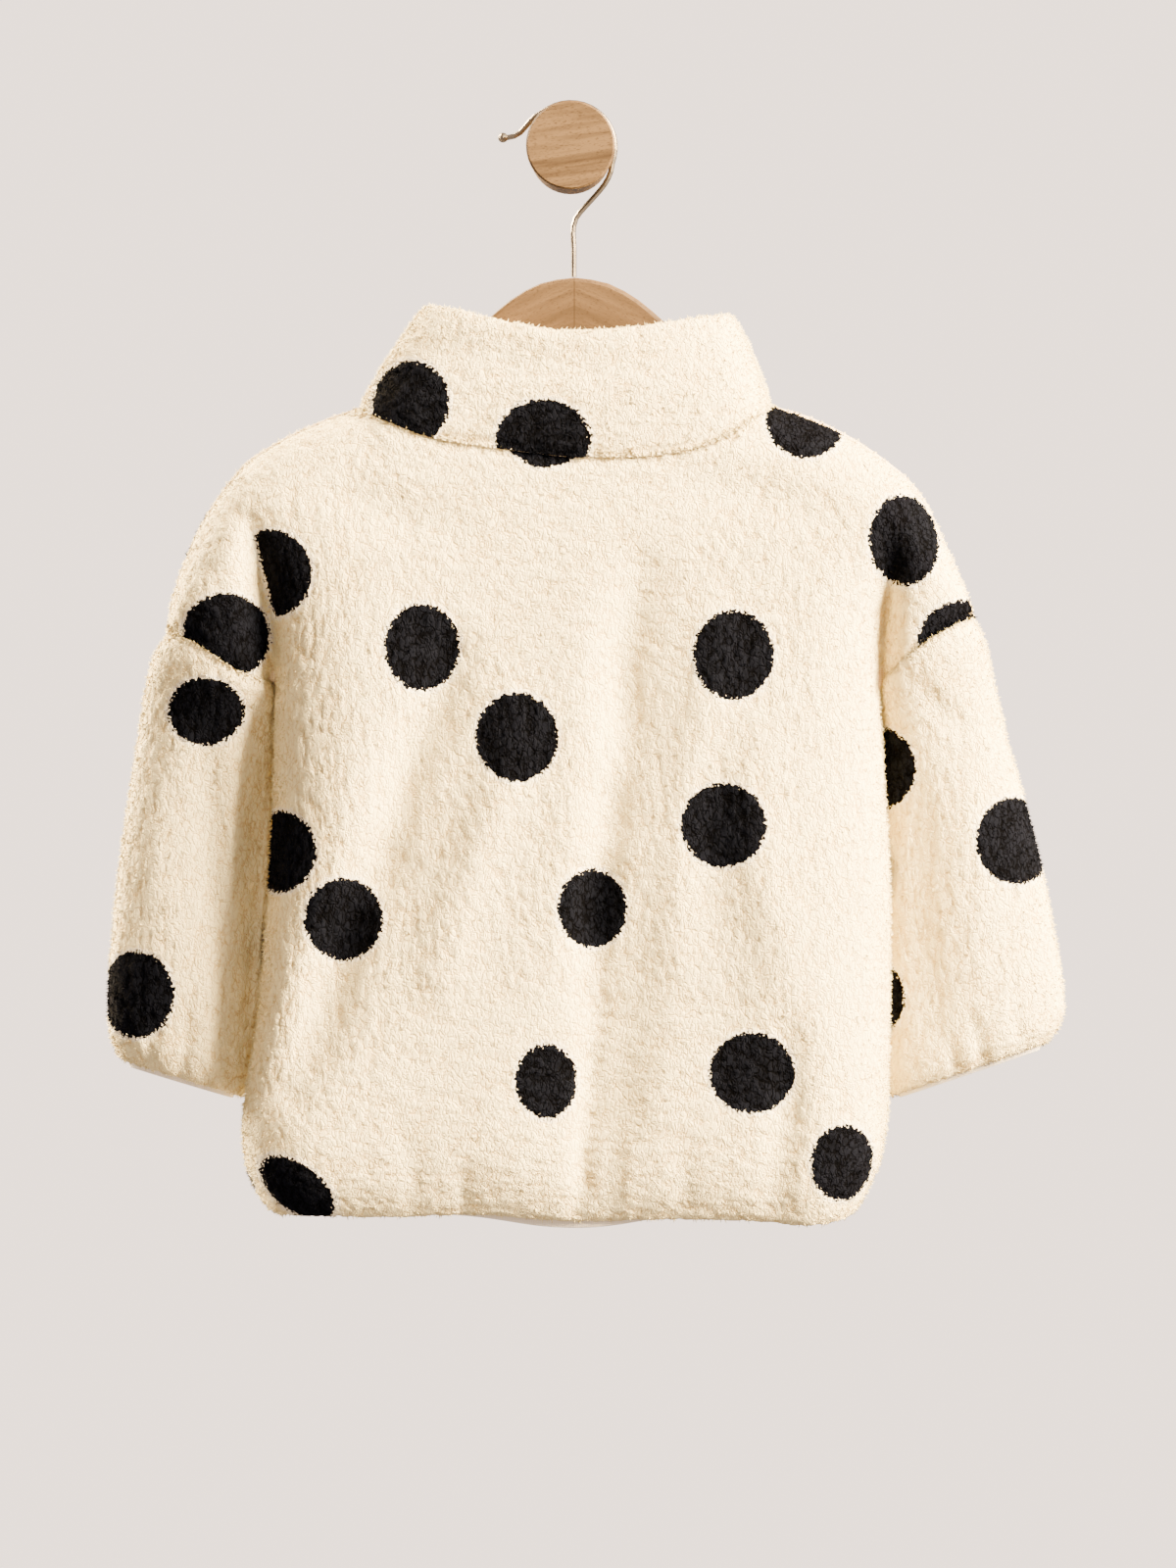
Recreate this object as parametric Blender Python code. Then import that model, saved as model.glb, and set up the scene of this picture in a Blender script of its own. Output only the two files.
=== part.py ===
"""Half-zip teddy fleece for a toddler, hung on a wooden hanger from a round wall peg.

The tables hold millimetres, and each object's mesh is written in metres. The origin is
the centre of the peg's flat back, which lies on the wall plane y = 0. +X is to the right
for someone facing the wall and +Z is up, so the garment's back faces -Y and its zip +Y.

The body is two panels, back and front, that meet in the seam plane y = SEAM_PLANE_Y at
the shoulders and sides. Each is a grid of columns that run down from its top edge. The
columns of the dropped shoulder end at the armhole seam, and the others at the hem.
"""

import math
from collections import namedtuple

import bmesh
import bpy
import numpy as np
from mathutils import Vector

MM = 0.001
SEAM_GAP = 0.3
HALF_GAP = SEAM_GAP / 2

# ---------------------------------------------------------------- driving dimensions
SEAM_PLANE_Y = -60.0
CLOTH_WALL = 5.0
BINDING_WALL = 1.6
TAPE_WALL = 1.0

CAP_COLUMNS = 9
SHOULDER_COLUMNS = 4
NECK_COLUMNS = 8
ARMHOLE_ROWS = 10
BODY_ROWS = 18
SLEEVE_RINGS = 14
COLLAR_ROWS = 6
NECK_EASE = 0.35
BODY_COLUMN_EASE = 0.65
ARMHOLE_ROW_EASE = 0.6
BODY_ROW_EASE = 0.45
SLEEVE_RING_EASE = 0.4

EDGE_RADIUS = 44.0
SHOULDER_RADIUS = 38.0
CAP_DEPTH = 21.0
ROUNDNESS = 2.2
FOLD_FADE_LEVEL = 1.15
FOLD_FADE = 0.75
FOLD_START = 0.26
FOLD_EASE = 1.9
FOLD_SWING_END = 0.85

ZIP_SLOT_HALF = 4.5
ZIP_SLOT_BODY_ROWS = 1
TAPE_HALF_WIDTH = 13.0
TAPE_CLEAR = 0.6
TAPE_SLOPE = 0.02
TAPE_TOP_DROP = 1.0
TAPE_END_RUN = 3.0

HANGER_THICKNESS = 12.0
HANGER_CENTRE_X = 2.0
HANGER_EDGE_ROUND = 2.0
BOARD_TOP_POINTS = 22
BOARD_BOTTOM_POINTS = 14
WIRE_RADIUS = 1.4
PEG_SHAFT_RADIUS = 21.2
PEG_HEAD_RADIUS = 22.75
PEG_SHAFT_LENGTH = 72.0
PEG_LENGTH = 84.0
PEG_HEAD_CHAMFER = 0.9
PEG_SIDES = 40

# ---------------------------------------------------------------- tables of the cut
Point = namedtuple("Point", "x z")
BodySection = namedtuple("BodySection", "z left right back front")
SleeveSection = namedtuple("SleeveSection", "outer_x outer_z inner_z tuck y back front")
Fold = namedtuple("Fold", "x0 z0 x1 z1 width height")
HangerStation = namedtuple("HangerStation", "dx top bottom")

# Shoulder silhouettes, from the top of the armhole fold out to the tip of the dropped
# shoulder, and from the same fold in to the neck.
CAP_TOP_LEFT = (
    Point(-166.0, -160.5),
    Point(-174.5, -170.5),
    Point(-189.0, -191.5),
    Point(-198.5, -213.5),
    Point(-205.0, -233.5),
    Point(-206.5, -245.5),
)
CAP_TOP_RIGHT = (
    Point(171.5, -168.0),
    Point(181.5, -179.5),
    Point(190.0, -198.0),
    Point(196.5, -212.5),
    Point(202.0, -225.0),
    Point(206.5, -237.0),
)
SHOULDER_LEFT = (
    Point(-166.0, -160.5),
    Point(-141.0, -145.5),
    Point(-121.0, -137.5),
    Point(-112.0, -134.0),
)
SHOULDER_RIGHT = (
    Point(171.5, -168.0),
    Point(158.5, -157.5),
    Point(141.0, -146.5),
    Point(114.0, -134.5),
    Point(105.5, -132.5),
)

# Armhole seams, from the underarm out to the tip of the dropped shoulder.
ARMHOLE_LEFT = (
    Point(-153.0, -274.5),
    Point(-162.5, -271.5),
    Point(-179.0, -262.5),
    Point(-197.5, -250.5),
    Point(-207.0, -248.5),
)
ARMHOLE_RIGHT = (
    Point(160.0, -273.0),
    Point(171.5, -260.5),
    Point(181.5, -253.0),
    Point(194.5, -245.0),
    Point(207.5, -240.5),
)

# Neck seams, from the corner at the shoulder to the middle.
NECK_BACK_LEFT = (
    Point(-112.0, -134.0),
    Point(-101.0, -138.0),
    Point(-75.0, -148.5),
    Point(-40.0, -154.5),
    Point(0.0, -159.5),
)
NECK_BACK_RIGHT = (
    Point(105.5, -132.5),
    Point(98.0, -138.0),
    Point(82.5, -148.0),
    Point(55.0, -157.0),
    Point(0.0, -159.5),
)
NECK_FRONT_LEFT = (
    Point(-112.0, -134.0),
    Point(-104.0, -150.0),
    Point(-80.0, -167.0),
    Point(-40.0, -179.0),
    Point(-ZIP_SLOT_HALF, -182.0),
)
NECK_FRONT_RIGHT = (
    Point(105.5, -132.5),
    Point(99.0, -150.0),
    Point(77.0, -167.0),
    Point(40.0, -179.0),
    Point(ZIP_SLOT_HALF, -182.0),
)

# Top edge of the collar, from its corner at the side to the middle.
COLLAR_BACK_LEFT = (
    Point(-77.0, -80.5),
    Point(-62.0, -82.0),
    Point(-35.0, -89.0),
    Point(0.0, -94.5),
)
COLLAR_BACK_RIGHT = (
    Point(86.0, -85.0),
    Point(66.0, -87.0),
    Point(35.0, -91.5),
    Point(0.0, -94.5),
)
COLLAR_FRONT_LEFT = (
    Point(-77.0, -80.5),
    Point(-66.0, -96.0),
    Point(-38.0, -112.0),
    Point(-ZIP_SLOT_HALF, -117.0),
)
COLLAR_FRONT_RIGHT = (
    Point(86.0, -85.0),
    Point(72.0, -99.0),
    Point(40.0, -113.0),
    Point(ZIP_SLOT_HALF, -117.0),
)
COLLAR_TOP_DEPTH_BACK = 24.0
COLLAR_TOP_DEPTH_FRONT = 27.0
COLLAR_BOW = 1.6
NECK_GAP = 0.4

# Depth of the body from the seam plane, and its side edges, from the shoulders down.
BODY_SECTIONS = (
    BodySection(-130.0, -153.0, 160.0, 24.0, 25.0),
    BodySection(-200.0, -153.0, 160.0, 29.0, 27.0),
    BodySection(-274.5, -153.0, 160.0, 33.0, 28.0),
    BodySection(-326.5, -153.5, 162.0, 34.5, 29.0),
    BodySection(-381.5, -156.0, 165.0, 35.5, 30.0),
    BodySection(-426.5, -160.0, 165.0, 36.0, 31.0),
    BodySection(-456.5, -163.0, 164.5, 36.5, 31.0),
    BodySection(-481.5, -167.5, 164.0, 36.5, 31.0),
    BodySection(-504.0, -169.5, 163.2, 36.5, 31.0),
    BodySection(-522.0, -168.0, 159.5, 35.5, 30.0),
    BodySection(-536.0, -162.5, 153.5, 32.5, 27.5),
    BodySection(-547.0, -153.5, 146.5, 26.0, 22.0),
)
HEM_Z = -547.5
HEM_WAVE_POWER = 6
HEM_WAVE = (
    Point(-155.0, 0.0),
    Point(-81.0, -0.5),
    Point(-40.0, 0.5),
    Point(-18.0, -2.0),
    Point(5.0, -3.0),
    Point(45.0, -2.0),
    Point(90.0, -2.5),
    Point(135.0, -4.0),
    Point(148.0, 0.5),
)

# Sleeve sections from the armhole seam to the cuff. The inner edge lies at inner_z, tucked
# behind the body's edge by tuck (under 0: beside it). y is measured from the seam plane.
SLEEVE_LEFT = (
    SleeveSection(-207.3, -248.9, -275.5, -0.6, 0.0, 21.0, 21.0),
    SleeveSection(-213.5, -257.0, -283.0, -0.5, 3.5, 22.5, 22.5),
    SleeveSection(-219.0, -279.0, -303.0, 0.7, 11.0, 23.0, 23.0),
    SleeveSection(-223.5, -306.5, -332.5, 1.6, 16.5, 23.0, 22.0),
    SleeveSection(-231.5, -357.5, -386.0, 2.6, 18.0, 22.5, 21.0),
    SleeveSection(-236.0, -399.0, -426.5, 2.6, 18.5, 22.5, 20.5),
    SleeveSection(-238.8, -440.0, -466.0, 2.6, 18.5, 21.5, 20.0),
    SleeveSection(-237.5, -457.0, -480.0, 2.4, 18.5, 20.0, 19.0),
    SleeveSection(-232.0, -468.5, -488.0, 1.0, 18.5, 15.5, 15.0),
)
SLEEVE_RIGHT = (
    SleeveSection(207.8, -240.9, -274.0, -0.6, 0.0, 21.0, 21.0),
    SleeveSection(213.0, -251.0, -282.5, -0.5, 3.5, 22.5, 22.5),
    SleeveSection(217.0, -269.0, -300.0, 0.7, 11.0, 23.0, 23.0),
    SleeveSection(225.0, -303.0, -334.0, 1.6, 16.5, 23.0, 22.0),
    SleeveSection(239.0, -351.5, -386.0, 2.6, 18.0, 23.0, 21.0),
    SleeveSection(249.0, -398.0, -432.0, 2.6, 18.5, 22.5, 20.5),
    SleeveSection(254.5, -433.5, -468.0, 2.6, 18.5, 21.5, 20.0),
    SleeveSection(254.0, -448.5, -481.0, 2.4, 18.5, 20.0, 19.0),
    SleeveSection(246.5, -459.5, -488.0, 1.0, 18.5, 15.5, 15.0),
)

# Largest folds: a soft ridge (height over 0) or valley (under 0) from one end to the other.
BACK_FOLDS = (
    Fold(-41.0, -311.0, -131.0, -476.0, 24.0, -4.0),
    Fold(-95.0, -230.0, -118.0, -400.0, 22.0, 2.5),
    Fold(19.0, -215.0, -11.0, -426.0, 22.0, 3.5),
    Fold(-20.0, -440.0, -52.0, -525.0, 20.0, 2.0),
    Fold(47.0, -240.0, 62.0, -390.0, 20.0, -3.5),
    Fold(17.0, -446.0, 4.5, -540.0, 13.0, -4.5),
    Fold(105.0, -300.0, 120.0, -500.0, 26.0, 2.5),
    Fold(-54.0, -522.0, -55.0, -547.0, 9.0, -2.5),
)
FRONT_FOLDS = (
    Fold(-45.0, -310.0, -110.0, -480.0, 24.0, -3.5),
    Fold(40.0, -300.0, 70.0, -500.0, 24.0, -3.5),
    Fold(-95.0, -240.0, -70.0, -400.0, 24.0, 2.5),
    Fold(110.0, -260.0, 125.0, -470.0, 26.0, 2.5),
    Fold(5.0, -420.0, -12.0, -535.0, 18.0, -3.0),
)

# Height of the hem binding's lower edge below the fleece, where it shows.
BINDING_SHOWS = (
    Point(-150.0, -1.0),
    Point(-64.0, -0.8),
    Point(-40.0, 2.0),
    Point(5.0, 3.6),
    Point(28.0, 2.0),
    Point(42.0, -0.8),
    Point(150.0, -1.0),
)
HIDDEN_BINDING = -0.8
HEM_BINDING_INSIDE = 7.0
HEM_BINDING_ROWS = (0.0, 0.6, 1.0)
CUFF_BINDING_SHOWS = 1.9
CUFF_START = 0.9
CUFF_RINGS = 3
UNDERARM_CLEAR = 1.0
SLEEVE_SEAM_GAP = 0.48
TRIM_CLEAR = 0.5

# Half of the hanger's outline, measured from its centre line.
HANGER_STATIONS = (
    HangerStation(0.0, -67.0, -108.0),
    HangerStation(15.0, -69.2, -109.5),
    HangerStation(30.0, -76.5, -114.0),
    HangerStation(42.0, -86.0, -120.5),
    HangerStation(60.0, -103.5, -132.0),
    HangerStation(78.0, -120.5, -146.0),
    HangerStation(92.0, -133.5, -157.0),
    HangerStation(104.0, -141.5, -163.0),
    HangerStation(116.0, -145.5, -166.5),
    HangerStation(128.0, -150.0, -170.0),
    HangerStation(140.0, -155.5, -173.5),
    HangerStation(148.0, -161.0, -175.5),
    HangerStation(153.0, -166.5, -174.5),
)

# The hook: up from the board, across to the peg, over it, and out to the ball tip.
HOOK_STEM = (
    Point(1.75, -66.6),
    Point(1.75, -52.0),
    Point(1.75, -40.0),
    Point(2.8, -36.5),
    Point(7.0, -31.2),
    Point(13.0, -24.6),
    Point(18.2, -18.0),
    Point(20.6, -12.8),
)
HOOK_ARC_START_DEG = -20.0
HOOK_ARC_END_DEG = 126.0
HOOK_ARC_POINTS = 15
HOOK_TIP = (
    Point(-18.6, 15.4),
    Point(-22.4, 11.2),
    Point(-25.6, 7.6),
    Point(-29.0, 5.6),
    Point(-32.6, 4.9),
)
HOOK_POINTS = 40
HOOK_SIDES = 8
HOOK_BALL_RADIUS = 2.6
HOOK_BALL_X = -34.6
HOOK_BALL_Z = 4.9

SLIDER_Z = -124.0
SLIDER_WIDTH = 7.4
SLIDER_HEIGHT = 9.0
SLIDER_THICKNESS = 2.8
SLIDER_TAPER = 1.2
SLIDER_SINK = 0.5
ARCH_WIDTH = 1.5
ARCH_HEIGHT = 3.6
ARCH_BAR = 1.2
ARCH_LENGTH = 7.4
ARCH_ROOT = 0.6
ARCH_CHAMFER = 0.9
PULL_WIDTH = 6.6
PULL_LENGTH = 20.0
PULL_THICKNESS = 1.2
PULL_WINDOW_WIDTH = 3.8
PULL_WINDOW_LENGTH = 5.4
PULL_BAR = 1.3
PULL_CORNER = 0.6
PULL_CLEAR = 0.35


# ---------------------------------------------------------------- curves and tables
def smooth_value(knots, values, at):
    """The value at one place on a smooth curve through the table's rows."""
    knots = np.asarray(knots, float)
    values = np.asarray(values, float)
    slopes = np.gradient(values, knots)
    at = float(np.clip(at, knots[0], knots[-1]))
    cell = int(np.clip(np.searchsorted(knots, at) - 1, 0, len(knots) - 2))
    span = knots[cell + 1] - knots[cell]
    t = (at - knots[cell]) / span
    return (
        values[cell] * (1 + 2 * t) * (1 - t) ** 2
        + slopes[cell] * span * t * (1 - t) ** 2
        + values[cell + 1] * t * t * (3 - 2 * t)
        + slopes[cell + 1] * span * t * t * (t - 1)
    )


def body_value(column, z):
    """One column of BODY_SECTIONS, such as back, at height z."""
    rows = BODY_SECTIONS[::-1]
    return smooth_value([r.z for r in rows], [getattr(r, column) for r in rows], z)


def table_value(table, x):
    return smooth_value([p.x for p in table], [p.z for p in table], x)


def arc_lengths(points):
    steps = [math.dist(a, b) for a, b in zip(points[:-1], points[1:])]
    return np.concatenate([[0.0], np.cumsum(steps)])


def along(points, fraction):
    """(x, z) at a fraction of the length of a smooth curve through points."""
    lengths = arc_lengths(points)
    at = fraction * lengths[-1]
    return tuple(smooth_value(lengths, [p[i] for p in points], at) for i in (0, 1))


def ease_out(count, share):
    """Fractions from 0 to 1 that start close together, the more so the larger share is."""
    u = np.linspace(0.0, 1.0, count + 1)
    return (1 - share) * u + share * (1 - np.cos(u * math.pi / 2))


def ease_in(count, share):
    """Fractions from 0 to 1 that end close together."""
    return 1 - ease_out(count, share)[::-1]


def puff(distance, radius):
    """How far a rounded edge has risen, from 0 at the edge to 1 at radius."""
    t = min(max(distance / radius, 0.0), 1.0)
    return (1 - (1 - t) ** ROUNDNESS) ** (1 / ROUNDNESS)


def tube_puff(fraction):
    """The same across a tube, 0 at both of its edges."""
    return (1 - abs(2 * fraction - 1) ** ROUNDNESS) ** (1 / ROUNDNESS)


def smoothstep(t):
    t = min(max(t, 0.0), 1.0)
    return t * t * (3 - 2 * t)


def distance_to_line(x, z, line):
    """Shortest distance in the seam plane from (x, z) to a line through points."""
    best = math.inf
    for (ax, az), (bx, bz) in zip(line[:-1], line[1:]):
        length2 = (bx - ax) ** 2 + (bz - az) ** 2
        t = ((x - ax) * (bx - ax) + (z - az) * (bz - az)) / length2
        t = min(max(t, 0.0), 1.0)
        best = min(best, math.hypot(x - ax - t * (bx - ax), z - az - t * (bz - az)))
    return best


def fold_height(folds, x, z):
    """Sum of the folds' ridges and valleys at (x, z)."""
    total = 0.0
    for fold in folds:
        run_x, run_z = fold.x1 - fold.x0, fold.z1 - fold.z0
        length = math.hypot(run_x, run_z)
        along_fold = ((x - fold.x0) * run_x + (z - fold.z0) * run_z) / length**2
        across = ((x - fold.x0) * run_z - (z - fold.z0) * run_x) / length
        past_end = max(-along_fold, along_fold - 1, 0.0) * length / fold.width
        from_middle = abs(2 * min(max(along_fold, 0.0), 1.0) - 1)
        fade = smoothstep(FOLD_FADE_LEVEL - FOLD_FADE * from_middle)
        total += fold.height * fade * math.exp(-((across / fold.width) ** 2) - past_end**2)
    return total


# ---------------------------------------------------------------- mesh helpers
def material(name, colour, roughness, metallic=0.0):
    made = bpy.data.materials.new(name)
    made.use_nodes = True
    shader = made.node_tree.nodes["Principled BSDF"]
    shader.inputs["Base Color"].default_value = (*colour, 1.0)
    shader.inputs["Roughness"].default_value = roughness
    shader.inputs["Metallic"].default_value = metallic
    return made


def place(name, bm, finish, smooth_angle_deg=40.0):
    """Turns a bmesh in millimetres into a named object in metres."""
    bmesh.ops.scale(bm, vec=Vector((MM, MM, MM)), verts=bm.verts)
    mesh = bpy.data.meshes.new(name)
    bm.to_mesh(mesh)
    bm.free()
    mesh.shade_smooth()
    mesh.set_sharp_from_angle(angle=math.radians(smooth_angle_deg))
    mesh.materials.append(finish)
    made = bpy.data.objects.new(name, mesh)
    bpy.context.scene.collection.objects.link(made)
    return made


def add_tool(piece, name, bm, finish, operation):
    """Joins a shape to a piece, or cuts it away, with a Boolean whose tool isn't a piece."""
    tool = place(f"{piece.name}_{name}_tool", bm, finish)
    tool.hide_render = True
    tool.display_type = "WIRE"
    modifier = piece.modifiers.new(name, "BOOLEAN")
    modifier.operation = operation
    modifier.object = tool
    return tool


def unit(vector):
    vector = Vector(vector)
    return vector.normalized()


def cloth_wall(name, points, quads, seam_planes, thickness, finish, fixed_inner=None, facing=0):
    """A sheet of quads facing outwards, given a wall on its inner side.

    seam_planes holds, for a point on a cut edge, the unit vectors that its wall runs
    across, so that the edge stays in its seam. fixed_inner holds inner points that are
    given. A panel's wall stays on the side of the seam plane that it faces. Returns the
    inner points, which what lies under the sheet is made from.
    """
    bm = bmesh.new()
    outer = [bm.verts.new(point) for point in points]
    bm.verts.index_update()
    for quad in quads:
        bm.faces.new([outer[i] for i in quad])
    bm.normal_update()
    inner_points = []
    for index, vert in enumerate(outer):
        normal = vert.normal.copy()
        for plane in seam_planes.get(index, ()):
            normal -= normal.dot(plane) * plane
        inner_points.append(vert.co - normal.normalized() * thickness)
    for index, point in (fixed_inner or {}).items():
        inner_points[index] = Vector(point)
    if facing:
        inner_points = [on_own_side(point, facing) for point in inner_points]
    inner = [bm.verts.new(point) for point in inner_points]
    rims = []
    for edge in [e for e in bm.edges if e.is_boundary]:
        loop = edge.link_loops[0]
        rims.append((loop.vert.index, loop.link_loop_next.vert.index))
    for a, b in rims:
        shorter = (outer[b].co - inner[a].co).length < (outer[a].co - inner[b].co).length
        if shorter:
            bm.faces.new([outer[b], outer[a], inner[a]])
            bm.faces.new([outer[b], inner[a], inner[b]])
        else:
            bm.faces.new([outer[b], outer[a], inner[b]])
            bm.faces.new([outer[a], inner[a], inner[b]])
    for quad in quads:
        bm.faces.new([inner[i] for i in reversed(quad)])
    place(name, bm, finish, smooth_angle_deg=70.0)
    return inner_points


def on_own_side(point, facing):
    """The point, no nearer to the seam plane than half of the seam's gap."""
    depth = max(facing * (point.y - SEAM_PLANE_Y), HALF_GAP)
    return Vector((point.x, SEAM_PLANE_Y + facing * depth, point.z))


def strip_quads(rows, columns, closed=False):
    """Quads of a grid of points stored row by row."""
    across = columns if closed else columns - 1
    return [
        (
            r * columns + c,
            r * columns + (c + 1) % columns,
            (r + 1) * columns + (c + 1) % columns,
            (r + 1) * columns + c,
        )
        for r in range(rows - 1)
        for c in range(across)
    ]


# ---------------------------------------------------------------- body panels
class Side:
    """One side of a panel: its top and bottom edges, column by column, outside to middle."""

    def __init__(self, sign, cap_top, shoulder, armhole, neck):
        self.sign = sign
        reach = [(1 + math.cos(math.pi * j / CAP_COLUMNS)) / 2 for j in range(CAP_COLUMNS + 1)]
        self.reach = reach
        self.top = [along(cap_top, t) for t in reach]
        self.bottom = [along(armhole, t) for t in reach]
        self.top += [along(shoulder, t) for t in np.linspace(0, 1, SHOULDER_COLUMNS + 1)[1:]]
        self.silhouette = list(self.top)
        self.top += [along(neck, t) for t in ease_out(NECK_COLUMNS, NECK_EASE)[1:]]
        body = ease_out(SHOULDER_COLUMNS + NECK_COLUMNS, BODY_COLUMN_EASE)[1:]
        underarm = armhole[0]
        middle_x = neck[-1].x
        for t in body:
            self.bottom.append((underarm.x + (middle_x - underarm.x) * t, underarm.z))
        self.body_share = [0.0] * (CAP_COLUMNS + 1) + list(body)
        self.armhole_z = (armhole[0].z, armhole[-1].z)


SIDE_POINTS = CAP_COLUMNS + 1 + SHOULDER_COLUMNS + NECK_COLUMNS
FOLD_COLUMN = CAP_COLUMNS
CORNER_COLUMN = CAP_COLUMNS + SHOULDER_COLUMNS


class Panel:
    """Back or front: a grid of outer points, from which the wall and its trims are made."""

    def __init__(self, name, facing, depth_column, folds, sides, middle_shared):
        self.name = name
        self.facing = facing
        self.depth_column = depth_column
        self.folds = folds
        self.sides = sides
        self.middle_shared = middle_shared
        self.points = []
        self.index = {}
        self.build_grid()

    def outward(self, depth):
        """y at a depth outside the seam plane, which leaves half of the seam's gap."""
        return SEAM_PLANE_Y + self.facing * (HALF_GAP + max(depth, 0.0))

    def columns(self):
        """(side, column of that side) from left to right."""
        left = [(self.sides[0], j) for j in range(SIDE_POINTS)]
        right = [(self.sides[1], j) for j in reversed(range(SIDE_POINTS))]
        return left + (right[1:] if self.middle_shared else right)

    def armhole_point(self, side, column, f):
        """A point of the part above the underarm, f from 0 at the top to 1 there."""
        top, bottom = side.top[column], side.bottom[column]
        swing = smoothstep(f / FOLD_SWING_END)
        x = top[0] + (bottom[0] - top[0]) * (swing if column <= FOLD_COLUMN else f)
        z = top[1] + (bottom[1] - top[1]) * f
        height = body_value(self.depth_column, z)
        plain = height * puff(distance_to_line(x, z, side.silhouette), SHOULDER_RADIUS)
        valley = 1 - (1 - max(f - FOLD_START, 0.0) / (1 - FOLD_START)) ** FOLD_EASE
        if column < FOLD_COLUMN:
            creased = CAP_DEPTH * tube_puff(side.reach[column])
        else:
            fold_top, fold_bottom = side.top[FOLD_COLUMN][0], side.bottom[FOLD_COLUMN][0]
            fold_x = fold_top + (fold_bottom - fold_top) * swing
            creased = height * puff(abs(x - fold_x), EDGE_RADIUS)
        depth = (1 - valley) * plain + valley * creased
        depth += fold_height(self.folds, x, z) * min(depth / height, 1.0)
        return (x, self.outward(depth), z)

    def body_point(self, side, column, f):
        """A point below the underarm, f from 0 there to 1 at the hem."""
        start_z = side.armhole_z[0]
        z = start_z + (HEM_Z - start_z) * f
        edge_x = body_value("left" if side.sign < 0 else "right", max(z, BODY_SECTIONS[-1].z))
        middle_x = side.bottom[-1][0]
        x = edge_x + (middle_x - edge_x) * side.body_share[column]
        height = body_value(self.depth_column, max(z, BODY_SECTIONS[-1].z))
        depth = height * puff(abs(x - edge_x), EDGE_RADIUS)
        depth += fold_height(self.folds, x, z) * min(depth / height, 1.0)
        return (x, self.outward(depth), z + table_value(HEM_WAVE, x) * f**HEM_WAVE_POWER)

    def build_grid(self):
        columns = self.columns()
        rows_down = ease_out(ARMHOLE_ROWS, ARMHOLE_ROW_EASE)
        rows_body = ease_in(BODY_ROWS, BODY_ROW_EASE)
        for c, (side, j) in enumerate(columns):
            for r, f in enumerate(rows_down):
                self.add(r, c, self.armhole_point(side, j, f))
            if j >= FOLD_COLUMN:
                for r, f in enumerate(rows_body[1:], start=ARMHOLE_ROWS + 1):
                    self.add(r, c, self.body_point(side, j, f))
        self.column_count = len(columns)
        self.row_count = ARMHOLE_ROWS + BODY_ROWS + 1

    def add(self, row, column, point):
        self.index[row, column] = len(self.points)
        self.points.append(point)

    def quads(self):
        """The grid's quads, facing outwards, without those of the zip's slot."""
        found = []
        for r in range(self.row_count - 1):
            for c in range(self.column_count - 1):
                keys = ((r, c), (r + 1, c), (r + 1, c + 1), (r, c + 1))
                if self.in_slot(r, c) or not all(key in self.index for key in keys):
                    continue
                quad = [self.index[key] for key in keys]
                found.append(tuple(quad if self.facing < 0 else reversed(quad)))
        return found

    def in_slot(self, row, column):
        return (
            not self.middle_shared
            and column == SIDE_POINTS - 1
            and row < ARMHOLE_ROWS + ZIP_SLOT_BODY_ROWS
        )

    def hem_inner(self):
        """Inner points of the hem, from the left side seam to the right one."""
        row = self.row_count - 1
        columns = range(FOLD_COLUMN, self.column_count - FOLD_COLUMN)
        return [self.inner[self.index[row, c]] for c in columns]

    def seam_planes(self):
        """For each point on a cut edge, what its wall must not run along."""
        across, up, along_x = unit((0, 1, 0)), unit((0, 0, 1)), unit((1, 0, 0))
        planes = {}
        slot_end = ARMHOLE_ROWS + ZIP_SLOT_BODY_ROWS
        for (r, c), index in self.index.items():
            side, j = self.columns()[c]
            found = []
            if (r == 0 and j <= CORNER_COLUMN) or j == 0 or (r >= ARMHOLE_ROWS and j == FOLD_COLUMN):
                found.append(across)
            if (r == 0 and j >= CORNER_COLUMN) or r == self.row_count - 1:
                found.append(up)
            if r == ARMHOLE_ROWS and j < FOLD_COLUMN:
                found.append(sleeve_direction(side))
            if not self.middle_shared and j == SIDE_POINTS - 1 and r < slot_end:
                found.append(along_x)
            if not self.middle_shared and j == SIDE_POINTS - 1 and r == slot_end:
                found.append(up)
            if found:
                planes[index] = found
        return planes

    def underarm_inner(self):
        """Inner points of the armhole fold, which rise from the underarm into the sleeve."""
        fixed = {}
        for c, (_, j) in enumerate(self.columns()):
            if j != FOLD_COLUMN:
                continue
            for r in range(1, ARMHOLE_ROWS + 1):
                x, y, z = self.points[self.index[r, c]]
                depth = abs(y - SEAM_PLANE_Y)
                inner_depth = max(depth - CLOTH_WALL, HALF_GAP)
                lift = math.sqrt(max(CLOTH_WALL**2 - (depth - inner_depth) ** 2, 0.0))
                inner_y = SEAM_PLANE_Y + self.facing * inner_depth
                fixed[self.index[r, c]] = Vector((x, inner_y, z + lift))
        return fixed

    def tip_inner(self, seam_inner):
        """Inner points of the short edge at each tip, which follow the armhole seam's."""
        fixed = {}
        for c in (0, self.column_count - 1):
            seam = self.index[ARMHOLE_ROWS, c]
            wall = seam_inner[seam] - Vector(self.points[seam])
            for r in range(ARMHOLE_ROWS):
                fixed[self.index[r, c]] = Vector(self.points[self.index[r, c]]) + wall
        return fixed

    def build(self, finish, seam_inner):
        """seam_inner holds the inner points of the seams that other pieces share."""
        self.inner = cloth_wall(
            self.name,
            self.points,
            self.quads(),
            self.seam_planes(),
            CLOTH_WALL,
            finish,
            {**self.underarm_inner(), **self.tip_inner(seam_inner), **seam_inner},
            self.facing,
        )


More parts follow.
